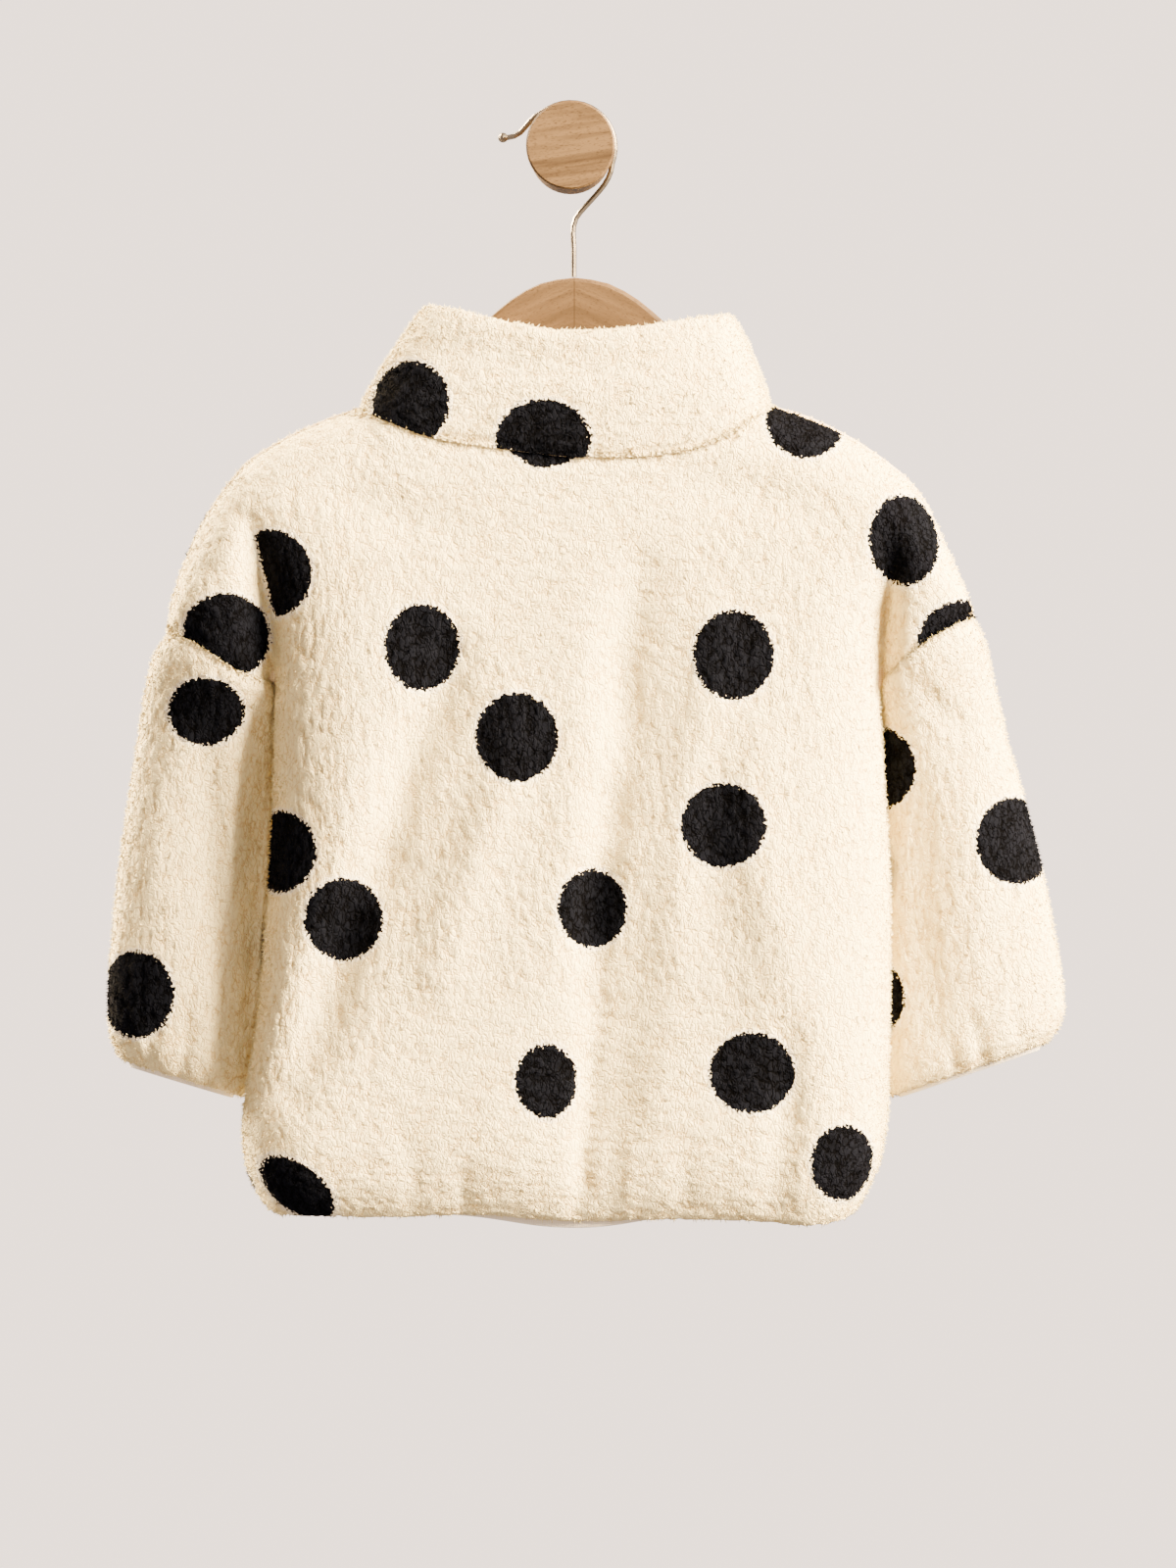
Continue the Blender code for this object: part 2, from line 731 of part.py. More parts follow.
class SeamRing:
    """A closed seam between the panels and a piece sewn to them, point by point."""

    def __init__(self, places, in_plan):
        """places: for each point, the (panel, (row, column)) of each panel that it is on."""
        self.places = places
        self.outer = []
        for found in places:
            points = [Vector(panel.points[panel.index[key]]) for panel, key in found]
            self.outer.append(sum(points, Vector()) / len(points))
        flat = [Vector((p.x, p.y, 0.0)) for p in self.outer] if in_plan else self.outer
        inset = inset_ring(flat, CLOTH_WALL)
        self.inner = [Vector((i.x, i.y, o.z if in_plan else i.z)) for i, o in zip(inset, self.outer)]

    def inner_for(self, panel):
        return {
            panel.index[key]: point
            for point, found in zip(self.inner, self.places)
            for owner, key in found
            if owner is panel
        }


def neck_ring(back, front):
    """From the zip's left edge round the back to its right edge."""
    last_back, last_front = back.column_count - 1, front.column_count - 1
    places = [[(front, (0, c))] for c in range(SIDE_POINTS - 1, CORNER_COLUMN, -1)]
    places.append([(front, (0, CORNER_COLUMN)), (back, (0, CORNER_COLUMN))])
    places += [[(back, (0, c))] for c in range(CORNER_COLUMN + 1, last_back - CORNER_COLUMN)]
    right = last_front - CORNER_COLUMN
    places.append([(back, (0, last_back - CORNER_COLUMN)), (front, (0, right))])
    places += [[(front, (0, c))] for c in range(right - 1, SIDE_POINTS - 1, -1)]
    return SeamRing(places, in_plan=True)


def armhole_ring(back, front, left):
    """From the tip of the dropped shoulder across the back to the underarm, then the front."""

    def column(panel, j):
        return j if left else panel.column_count - 1 - j

    def place_of(panel, j):
        return (panel, (ARMHOLE_ROWS, column(panel, j)))

    places = [[place_of(back, 0), place_of(front, 0)]]
    places += [[place_of(back, j)] for j in range(1, FOLD_COLUMN)]
    places.append([place_of(back, FOLD_COLUMN), place_of(front, FOLD_COLUMN)])
    places += [[place_of(front, j)] for j in range(FOLD_COLUMN - 1, 0, -1)]
    return SeamRing(places, in_plan=False)


def sleeve_direction(side):
    """Unit vector down the sleeve, square to the line of its armhole seam."""
    (under_x, under_z), (tip_x, tip_z) = side.bottom[FOLD_COLUMN], side.bottom[0]
    square = Vector((tip_z - under_z, 0.0, under_x - tip_x)).normalized()
    return square if square.z < 0 else -square


# ---------------------------------------------------------------- sleeves
def sleeve_section(table, fraction):
    """The sleeve's section at a fraction of the way down its table."""
    middles = [(row.outer_x / 2, (row.outer_z + row.inner_z) / 2) for row in table]
    lengths = arc_lengths(middles)
    at = fraction * lengths[-1]
    return SleeveSection(*(smooth_value(lengths, column, at) for column in zip(*table)))


def sleeve_ring(section, side):
    """Points round one section: across its back from the outer edge, then its front."""
    ring = []
    for t in side.reach:
        ring.append(section_point(section, side, t, section.y - section.back * tube_puff(t)))
    for t in side.reach[-2:0:-1]:
        ring.append(section_point(section, side, t, section.y + section.front * tube_puff(t)))
    return ring


def section_point(section, side, t, y):
    edge = body_value("left" if side.sign < 0 else "right", section.inner_z)
    inner_x = edge - side.sign * section.tuck
    x = inner_x + (section.outer_x - inner_x) * t
    z = section.inner_z + (section.outer_z - section.inner_z) * t
    return Vector((x, SEAM_PLANE_Y + y, z))


def build_sleeve(name, table, side, seam, finish):
    """Returns the sleeve's inner points, ring by ring, and the direction out of its cuff."""
    down = sleeve_direction(side)
    gap = down * SLEEVE_SEAM_GAP
    size = 2 * CAP_COLUMNS
    first = [point + gap for point in seam.outer]
    first_inner = [point + gap for point in seam.inner]
    first[FOLD_COLUMN] += Vector((side.sign * UNDERARM_CLEAR, 0.0, 0.0))
    toward_tip = (seam.outer[0] - seam.outer[FOLD_COLUMN]).normalized()
    first_inner[FOLD_COLUMN] = first[FOLD_COLUMN] + toward_tip * CLOTH_WALL
    body = CUFF_START * np.array(ease_out(SLEEVE_RINGS - CUFF_RINGS, SLEEVE_RING_EASE)[1:-1])
    cuff = np.linspace(CUFF_START, 1.0, CUFF_RINGS + 1)
    rings = [first]
    rings += [sleeve_ring(sleeve_section(table, f), side) for f in (*body, *cuff)]
    points = [point for ring in rings for point in ring]
    quads = strip_quads(len(rings), size, closed=True)
    if side.sign < 0:
        quads = [tuple(reversed(q)) for q in quads]
    across = rings[-1][0] - rings[-1][FOLD_COLUMN]
    cuff_down = Vector((across.z, 0.0, -across.x)).normalized()
    cuff_down = cuff_down if cuff_down.z < 0 else -cuff_down
    last = (len(rings) - 1) * size
    planes = {last + k: [cuff_down] for k in range(size)}
    fixed = dict(enumerate(first_inner))
    inner = cloth_wall(name, points, quads, planes, CLOTH_WALL, finish, fixed)
    return [inner[r * size : (r + 1) * size] for r in range(len(rings))], cuff_down


def ring_normals(ring, inside):
    """Unit vectors from each point of a ring towards the tube's middle line."""
    count = len(ring)
    found = []
    for k in range(count):
        tangent = (ring[(k + 1) % count] - ring[k - 1]).normalized()
        toward = inside - ring[k]
        found.append((toward - toward.dot(tangent) * tangent).normalized())
    return found


def inset_ring(ring, amount):
    middle = sum(ring, Vector()) / len(ring)
    return [p + n * amount for p, n in zip(ring, ring_normals(ring, middle))]


def build_cuff_binding(name, inner_rings, down, finish, flip):
    rows = [inset_ring(ring, TRIM_CLEAR) for ring in inner_rings[-CUFF_RINGS:]]
    rows.append([p + down * CUFF_BINDING_SHOWS for p in rows[-1]])
    size = len(rows[0])
    quads = strip_quads(len(rows), size, closed=True)
    if flip:
        quads = [tuple(reversed(q)) for q in quads]
    points = [p for row in rows for p in row]
    ends = [*range(size), *range(len(points) - size, len(points))]
    planes = {k: [down] for k in ends}
    cloth_wall(name, points, quads, planes, BINDING_WALL, finish)


# ---------------------------------------------------------------- hem binding
def build_hem_binding(back, front, finish):
    """A band inside the fleece's lower edge, which shows below it in the middle."""
    back_inner, front_inner = back.hem_inner(), front.hem_inner()
    for ends in (back_inner, front_inner):
        for k in (0, -1):
            ends[k] = Vector((ends[k].x, SEAM_PLANE_Y, ends[k].z))
    ring = inset_ring(back_inner + front_inner[-2:0:-1], TRIM_CLEAR)
    rows = []
    for share in HEM_BINDING_ROWS:
        row = []
        for point in ring:
            low = table_value(BINDING_SHOWS, point.x) if point.y < SEAM_PLANE_Y else HIDDEN_BINDING
            top = point.z + HEM_BINDING_INSIDE
            row.append(Vector((point.x, point.y, top + (point.z - low - top) * share)))
        rows.append(row)
    size = len(ring)
    quads = [tuple(reversed(q)) for q in strip_quads(len(rows), size, closed=True)]
    points = [p for row in rows for p in row]
    up = unit((0, 0, 1))
    planes = {k: [up] for k in range(len(points))}
    cloth_wall("hem_binding", points, quads, planes, BINDING_WALL, finish)


# ---------------------------------------------------------------- collar
def collar_top():
    """The collar's top edge, in the same order as the neck seam's points."""
    steps = ease_out(NECK_COLUMNS, NECK_EASE)

    def run(table, depth, facing):
        reach = abs(table[0].x - table[-1].x)
        found = []
        for t in steps:
            x, z = along(table, t)
            rise = puff(abs(x - table[0].x), reach)
            found.append(Vector((x, SEAM_PLANE_Y + facing * depth * rise, z)))
        return found

    front_left = run(COLLAR_FRONT_LEFT, COLLAR_TOP_DEPTH_FRONT, 1)
    back_left = run(COLLAR_BACK_LEFT, COLLAR_TOP_DEPTH_BACK, -1)
    back_right = run(COLLAR_BACK_RIGHT, COLLAR_TOP_DEPTH_BACK, -1)
    front_right = run(COLLAR_FRONT_RIGHT, COLLAR_TOP_DEPTH_FRONT, 1)
    return front_left[::-1] + back_left[1:] + back_right[::-1][1:] + front_right[1:]


def seam_lifts(seam):
    """For each point of the neck seam, the step that opens its gap, square to the seam."""
    last = len(seam.outer) - 1
    up = unit((0, 0, 1))
    lifts = []
    for k in range(last + 1):
        run = (seam.outer[min(k + 1, last)] - seam.outer[max(k - 1, 0)]).normalized()
        lifts.append((up - up.dot(run) * run).normalized() * NECK_GAP)
    return lifts


def build_collar(seam, finish):
    """Returns the collar's inner points, row by row from the neck seam up."""
    top = collar_top()
    lifts = seam_lifts(seam)
    columns = len(seam.outer)
    points = []
    for r in range(COLLAR_ROWS + 1):
        f = r / COLLAR_ROWS
        bow = COLLAR_BOW * math.sin(math.pi * f)
        for low, lift, high in zip(seam.outer, lifts, top):
            point = (low + lift).lerp(high, f)
            away = Vector((point.x, 2.0 * (point.y - SEAM_PLANE_Y), 0.0)).normalized()
            points.append(point + away * bow)
    quads = strip_quads(COLLAR_ROWS + 1, columns)
    up, along_x = unit((0, 0, 1)), unit((1, 0, 0))
    planes = {}
    for r in range(COLLAR_ROWS + 1):
        for c in range(columns):
            found = []
            if r in (0, COLLAR_ROWS):
                found.append(up)
            if c in (0, columns - 1):
                found.append(along_x)
            if found:
                planes[r * columns + c] = found
    fixed = {k: seam.inner[k] + lifts[k] for k in range(columns)}
    inner = cloth_wall("collar", points, quads, planes, CLOTH_WALL, finish, fixed)
    return [inner[r * columns : (r + 1) * columns] for r in range(COLLAR_ROWS + 1)]


# ---------------------------------------------------------------- zip
def zip_profile(collar_inner, front):
    """Points down the slot's edge, under the collar and then the front panel."""
    down_collar = [row[-1] for row in collar_inner[::-1]]
    column = SIDE_POINTS
    rows = range(1, ARMHOLE_ROWS + ZIP_SLOT_BODY_ROWS + 1)
    down_front = [front.inner[front.index[r, column]] for r in rows]
    return down_collar + down_front


def build_tape(name, profile, sign, finish):
    """One tape, whose points lie under those of the slot's edge."""
    high = profile[0] - Vector((0.0, 0.0, TAPE_TOP_DROP))
    low = profile[-1] - Vector((0.0, 0.0, TAPE_END_RUN))
    profile = [high, *profile[1:-1], low]
    widths = (HALF_GAP, ZIP_SLOT_HALF, TAPE_HALF_WIDTH)
    points = [
        Vector((sign * width, point.y - TAPE_CLEAR - TAPE_SLOPE * width, point.z))
        for point in profile
        for width in widths
    ]
    quads = strip_quads(len(profile), len(widths))
    if sign < 0:
        quads = [tuple(reversed(q)) for q in quads]
    along_x = unit((1, 0, 0))
    planes = {k: [along_x] for k in range(len(points))}
    cloth_wall(name, points, quads, planes, TAPE_WALL, finish)


def add_box(bm, low, high):
    made = bmesh.ops.create_cube(bm, size=1.0)
    size = Vector(high) - Vector(low)
    centre = (Vector(high) + Vector(low)) / 2
    bmesh.ops.scale(bm, vec=size, verts=made["verts"])
    bmesh.ops.translate(bm, vec=centre, verts=made["verts"])


def outline_plate(bm, outline, y_low, y_high):
    """A closed outline of (x, z) points, anticlockwise seen from -Y, between two y values."""
    base = bm.faces.new([bm.verts.new((x, y_low, z)) for x, z in outline])
    grown = bmesh.ops.extrude_face_region(bm, geom=[base])
    moved = [v for v in grown["geom"] if isinstance(v, bmesh.types.BMVert)]
    bmesh.ops.translate(bm, vec=Vector((0.0, y_high - y_low, 0.0)), verts=moved)
    bmesh.ops.recalc_face_normals(bm, faces=bm.faces)


def build_slider(face_y, finish):
    """The slider's body, a shield seen from the front, and the arch that its pull hangs from."""
    half = ARCH_WIDTH / 2
    top, bottom = SLIDER_Z + SLIDER_HEIGHT / 2, SLIDER_Z - SLIDER_HEIGHT / 2
    shoulder = SLIDER_WIDTH / 2
    shield = (
        (-shoulder + SLIDER_TAPER, bottom),
        (shoulder - SLIDER_TAPER, bottom),
        (shoulder, top - 2 * SLIDER_TAPER),
        (shoulder - SLIDER_TAPER, top),
        (-shoulder + SLIDER_TAPER, top),
        (-shoulder, top - 2 * SLIDER_TAPER),
    )
    body = bmesh.new()
    outline_plate(body, shield, face_y, face_y + SLIDER_THICKNESS)
    slider = place("zip_slider", body, finish)

    arch = bmesh.new()
    y0 = face_y + SLIDER_THICKNESS - ARCH_ROOT
    y1 = face_y + SLIDER_THICKNESS + ARCH_HEIGHT
    z1, z0 = SLIDER_Z + ARCH_LENGTH / 2, SLIDER_Z - ARCH_LENGTH / 2
    side_view = (
        (y0, z0),
        (y1 - ARCH_CHAMFER, z0),
        (y1, z0 + ARCH_CHAMFER),
        (y1, z1 - ARCH_CHAMFER),
        (y1 - ARCH_CHAMFER, z1),
        (y0, z1),
        (y0, z1 - ARCH_BAR),
        (y1 - ARCH_BAR, z1 - ARCH_BAR),
        (y1 - ARCH_BAR, z0 + ARCH_BAR),
        (y0, z0 + ARCH_BAR),
    )
    base = arch.faces.new([arch.verts.new((-half, y, z)) for y, z in side_view])
    grown = bmesh.ops.extrude_face_region(arch, geom=[base])
    moved = [v for v in grown["geom"] if isinstance(v, bmesh.types.BMVert)]
    bmesh.ops.translate(arch, vec=Vector((2 * half, 0.0, 0.0)), verts=moved)
    bmesh.ops.recalc_face_normals(arch, faces=arch.faces)
    add_tool(slider, "arch", arch, finish, "UNION")


def pull_axis(face_y):
    """(y, z) of the bar that the pull turns on, under the arch's top."""
    y = face_y + SLIDER_THICKNESS + ARCH_HEIGHT - ARCH_BAR - PULL_CLEAR - PULL_BAR / 2
    return y, SLIDER_Z


def build_pull(face_y, finish):
    """The pull tab, hanging from its bar, with a window that lets the arch through."""
    y, z = pull_axis(face_y)
    half = PULL_WIDTH / 2
    top = z + PULL_BAR / 2
    bottom = top - PULL_LENGTH
    bm = bmesh.new()
    outline = (
        (-half, top - PULL_CORNER),
        (-half, bottom + half),
        (-half / 2, bottom + PULL_CORNER),
        (0.0, bottom),
        (half / 2, bottom + PULL_CORNER),
        (half, bottom + half),
        (half, top - PULL_CORNER),
        (half - PULL_CORNER, top),
        (-half + PULL_CORNER, top),
    )
    outline_plate(bm, outline, -PULL_THICKNESS / 2, PULL_THICKNESS / 2)
    bmesh.ops.translate(bm, vec=Vector((0.0, 0.0, -z)), verts=bm.verts)
    pull = place("zip_pull", bm, finish)
    window = bmesh.new()
    reach = PULL_WINDOW_WIDTH / 2
    window_top = -PULL_BAR / 2
    add_box(
        window,
        (-reach, -PULL_THICKNESS, window_top - PULL_WINDOW_LENGTH),
        (reach, PULL_THICKNESS, window_top),
    )
    tool = add_tool(pull, "window", window, finish, "DIFFERENCE")
    for piece in (pull, tool):
        piece.location = (0.0, y * MM, z * MM)


# ---------------------------------------------------------------- hanger and peg
def build_hanger_board(finish):
    top = [(s.dx, s.top) for s in HANGER_STATIONS]
    bottom = [(s.dx, s.bottom) for s in HANGER_STATIONS]
    right = [along(top, t) for t in np.linspace(0, 1, BOARD_TOP_POINTS)]
    right_low = [along(bottom, t) for t in np.linspace(0, 1, BOARD_BOTTOM_POINTS)]
    cx = HANGER_CENTRE_X
    outline = [(cx + dx, z) for dx, z in right_low]
    outline += [(cx + dx, z) for dx, z in reversed(right)]
    outline += [(cx - dx, z) for dx, z in right[1:]]
    outline += [(cx - dx, z) for dx, z in reversed(right_low[1:])]
    bm = bmesh.new()
    half = HANGER_THICKNESS / 2
    outline_plate(bm, outline, SEAM_PLANE_Y - half, SEAM_PLANE_Y + half)
    rim = [e for e in bm.edges if abs(e.verts[0].co.y - e.verts[1].co.y) < 1e-6]
    bmesh.ops.bevel(
        bm, geom=rim, offset=HANGER_EDGE_ROUND, segments=2, profile=0.5, affect="EDGES", material=-1
    )
    place("hanger_board", bm, finish, smooth_angle_deg=50.0)


def hook_route():
    """Points down the middle of the wire, from the board to the ball."""
    radius = PEG_SHAFT_RADIUS + SEAM_GAP + WIRE_RADIUS
    angles = np.linspace(HOOK_ARC_START_DEG, HOOK_ARC_END_DEG, HOOK_ARC_POINTS)
    arc = [(radius * math.cos(math.radians(a)), radius * math.sin(math.radians(a))) for a in angles]
    return [*HOOK_STEM, *arc, *HOOK_TIP]


def tube(bm, route, radius, sides, y):
    """A round tube along (x, z) points in the plane y, closed at both ends."""
    rings = []
    for k, (x, z) in enumerate(route):
        before = route[max(k - 1, 0)]
        after = route[min(k + 1, len(route) - 1)]
        run = Vector((after[0] - before[0], 0.0, after[1] - before[1])).normalized()
        side = Vector((run.z, 0.0, -run.x))
        ring = []
        for s in range(sides):
            angle = 2 * math.pi * s / sides
            offset = side * math.cos(angle) + Vector((0.0, 1.0, 0.0)) * math.sin(angle)
            ring.append(bm.verts.new(Vector((x, y, z)) + offset * radius))
        rings.append(ring)
    for low, high in zip(rings[:-1], rings[1:]):
        for s in range(sides):
            bm.faces.new((low[s], low[(s + 1) % sides], high[(s + 1) % sides], high[s]))
    bm.faces.new(rings[0])
    bm.faces.new(rings[-1])
    bmesh.ops.recalc_face_normals(bm, faces=bm.faces)


def build_hook(finish):
    route = hook_route()
    dense = [along(route, t) for t in np.linspace(0, 1, HOOK_POINTS)]
    bm = bmesh.new()
    tube(bm, dense, WIRE_RADIUS, HOOK_SIDES, SEAM_PLANE_Y)
    hook = place("hanger_hook", bm, finish)
    ball = bmesh.new()
    bmesh.ops.create_uvsphere(ball, u_segments=12, v_segments=8, radius=HOOK_BALL_RADIUS)
    bmesh.ops.translate(ball, vec=Vector((HOOK_BALL_X, SEAM_PLANE_Y, HOOK_BALL_Z)), verts=ball.verts)
    add_tool(hook, "ball", ball, finish, "UNION")


def build_peg(finish):
    """Turned about the Y axis: flat back on the wall, shaft, and a slightly wider head."""
    profile = (
        (0.0, 0.0),
        (PEG_SHAFT_RADIUS, 0.0),
        (PEG_SHAFT_RADIUS, -PEG_SHAFT_LENGTH),
        (PEG_HEAD_RADIUS - PEG_HEAD_CHAMFER, -PEG_SHAFT_LENGTH),
        (PEG_HEAD_RADIUS, -PEG_SHAFT_LENGTH - PEG_HEAD_CHAMFER),
        (PEG_HEAD_RADIUS, -PEG_LENGTH + PEG_HEAD_CHAMFER),
        (PEG_HEAD_RADIUS - PEG_HEAD_CHAMFER, -PEG_LENGTH),
        (0.0, -PEG_LENGTH),
    )
    bm = bmesh.new()
    line = [bm.verts.new((radius, y, 0.0)) for radius, y in profile]
    edges = [bm.edges.new(pair) for pair in zip(line[:-1], line[1:])]
    bmesh.ops.spin(
        bm,
        geom=line + edges,
        cent=(0.0, 0.0, 0.0),
        axis=(0.0, 1.0, 0.0),
        angle=2 * math.pi,
        steps=PEG_SIDES,
        use_merge=True,
    )
    bmesh.ops.remove_doubles(bm, verts=bm.verts, dist=1e-4)
    bmesh.ops.recalc_face_normals(bm, faces=bm.faces)
    place("wall_peg", bm, finish, smooth_angle_deg=30.0)


# ---------------------------------------------------------------- the whole part
def clear_scene():
    for thing in list(bpy.data.objects):
        bpy.data.objects.remove(thing, do_unlink=True)


def main():
    clear_scene()
    fleece = material("cream_teddy_fleece", (0.88, 0.80, 0.68), 0.95)
    binding = material("elastic_binding", (0.90, 0.86, 0.78), 0.80)
    tape = material("woven_zip_tape", (0.86, 0.80, 0.70), 0.75)
    metal = material("zip_metal", (0.70, 0.68, 0.64), 0.35, 1.0)
    beech = material("beech", (0.66, 0.44, 0.27), 0.55)
    nickel = material("satin_nickel", (0.70, 0.66, 0.60), 0.30, 1.0)

    left_back = Side(-1, CAP_TOP_LEFT, SHOULDER_LEFT, ARMHOLE_LEFT, NECK_BACK_LEFT)
    right_back = Side(1, CAP_TOP_RIGHT, SHOULDER_RIGHT, ARMHOLE_RIGHT, NECK_BACK_RIGHT)
    left_front = Side(-1, CAP_TOP_LEFT, SHOULDER_LEFT, ARMHOLE_LEFT, NECK_FRONT_LEFT)
    right_front = Side(1, CAP_TOP_RIGHT, SHOULDER_RIGHT, ARMHOLE_RIGHT, NECK_FRONT_RIGHT)
    back = Panel("back_panel", -1, "back", BACK_FOLDS, (left_back, right_back), True)
    front = Panel("front_panel", 1, "front", FRONT_FOLDS, (left_front, right_front), False)
    neck = neck_ring(back, front)
    armholes = [armhole_ring(back, front, left) for left in (True, False)]
    for panel in (back, front):
        shared = {}
        for ring in (neck, *armholes):
            shared.update(ring.inner_for(panel))
        panel.build(fleece, shared)

    left_inner, left_down = build_sleeve("sleeve_left", SLEEVE_LEFT, left_back, armholes[0], fleece)
    right_inner, right_down = build_sleeve("sleeve_right", SLEEVE_RIGHT, right_back, armholes[1], fleece)
    build_cuff_binding("cuff_binding_left", left_inner, left_down, binding, True)
    build_cuff_binding("cuff_binding_right", right_inner, right_down, binding, False)
    build_hem_binding(back, front, binding)

    collar_inner = build_collar(neck, fleece)
    profile = zip_profile(collar_inner, front)
    build_tape("zip_tape_left", profile, -1, tape)
    build_tape("zip_tape_right", profile, 1, tape)
    face_y = profile[0].y + SLIDER_SINK
    build_slider(face_y, metal)
    build_pull(face_y, metal)

    build_hanger_board(beech)
    build_hook(nickel)
    build_peg(beech)


main()
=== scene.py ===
"""Looks of a toddler's dotted teddy-fleece half-zip, hung by its hanger from a wall peg.

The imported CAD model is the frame. Every cloth node is replaced by a finely divided
copy with pile, dots, creases and sewing, and the hard nodes get their own finishes.
Sizes are in millimetres in the tables and in metres in every mesh.
"""

import logging
import math
from dataclasses import dataclass
from enum import Enum

import bmesh
import bpy
import numpy as np
from mathutils import Matrix, Vector, noise
from mathutils.bvhtree import BVHTree
from mathutils.kdtree import KDTree


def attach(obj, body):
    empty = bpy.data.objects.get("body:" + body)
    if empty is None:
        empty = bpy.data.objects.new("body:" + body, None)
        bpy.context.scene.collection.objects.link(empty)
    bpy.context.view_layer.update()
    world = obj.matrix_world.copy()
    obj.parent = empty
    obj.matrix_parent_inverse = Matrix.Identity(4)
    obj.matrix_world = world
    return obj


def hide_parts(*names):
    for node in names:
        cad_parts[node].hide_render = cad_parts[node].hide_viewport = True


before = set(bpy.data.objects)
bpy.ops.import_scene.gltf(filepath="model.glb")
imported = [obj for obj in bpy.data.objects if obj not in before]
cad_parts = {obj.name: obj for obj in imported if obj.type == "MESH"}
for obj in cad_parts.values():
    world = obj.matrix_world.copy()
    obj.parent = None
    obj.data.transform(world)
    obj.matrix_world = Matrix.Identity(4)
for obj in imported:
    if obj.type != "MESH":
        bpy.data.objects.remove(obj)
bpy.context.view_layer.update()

LOG = logging.getLogger("half_zip_fleece")
MM = 0.001
BODY = "garment"
FLEECE_NODES = ("back_panel", "front_panel", "sleeve_left", "sleeve_right", "collar")
SEAM_PLANE_Y = -60.0
# How far outside the garment a ray starts that looks for its surface, in metres.
RAY_START = 0.3
# The Scale at which a Wave texture repeats once in a metre.
WAVE_OF_ONE_METRE = 0.314
TUFTS_AT_ONCE = 60


class Facing(Enum):
    """Which way a stretch of cloth looks."""

    BACK = -1
    FRONT = 1


class ClothSide(Enum):
    """The material slots of a cloth mesh."""

    PILE = 0
    BACKING = 1


# ---------------------------------------------------------------- colours and nodes
def linear(hex_colour: str) -> tuple[float, float, float, float]:
    """Turns an sRGB hex colour to linear, by the numbers of the sRGB standard.

    Args:
        hex_colour: six hex digits after a #.

    Returns:
        Red, green, blue and an alpha of 1.
    """
    parts = [int(hex_colour[i : i + 2], 16) / 255 for i in (1, 3, 5)]
    values = [c / 12.92 if c <= 0.04045 else ((c + 0.055) / 1.055) ** 2.4 for c in parts]
    return (values[0], values[1], values[2], 1.0)


def set_inputs(
    tree: bpy.types.NodeTree, node: bpy.types.Node, inputs: dict[str | int, object]
) -> None:
    """Links or sets a node's inputs.

    Args:
        tree: the material's node tree.
        node: the node.
        inputs: what each input gets, by name or number. A socket is linked, a hex
            colour is turned to linear, and a number or vector is set as it is.
    """
    for name, value in inputs.items():
        if isinstance(value, bpy.types.NodeSocket):
            tree.links.new(value, node.inputs[name])
        else:
            node.inputs[name].default_value = linear(value) if isinstance(value, str) else value


def add_node(
    tree: bpy.types.NodeTree,
    kind: str,
    settings: dict[str, object] | None = None,
    inputs: dict[str | int, object] | None = None,
    stops: tuple[tuple[float, str], ...] = (),
) -> bpy.types.Node:
    """Adds a node with its settings and links.

    Args:
        tree: the material's node tree.
        kind: the node's type without its first word, such as TexNoise.
        settings: properties of the node itself.
        inputs: what each input gets, as set_inputs takes it.
        stops: a colour ramp's places, rising from 0 to 1, and their hex colours.

    Returns:
        The new node.
    """
    node = tree.nodes.new(f"ShaderNode{kind}")
    for name, value in (settings or {}).items():
        setattr(node, name, value)
    set_inputs(tree, node, inputs or {})
    for _ in stops[2:]:
        node.color_ramp.elements.new(0.5)
    for index, (place, colour) in enumerate(stops):
        node.color_ramp.elements[index].position = place
        node.color_ramp.elements[index].color = linear(colour)
    return node


def new_material(
    name: str, constants: dict[str, object]
) -> tuple[bpy.types.Material, bpy.types.NodeTree, bpy.types.Node]:
    """Starts a material.

    Args:
        name: the material's name.
        constants: the shader's values that are the same all over, by input.

    Returns:
        The material, its node tree and its Principled shader.
    """
    material = bpy.data.materials.new(name)
    material.use_nodes = True
    shader = material.node_tree.nodes["Principled BSDF"]
    set_inputs(material.node_tree, shader, constants)
    return material, material.node_tree, shader


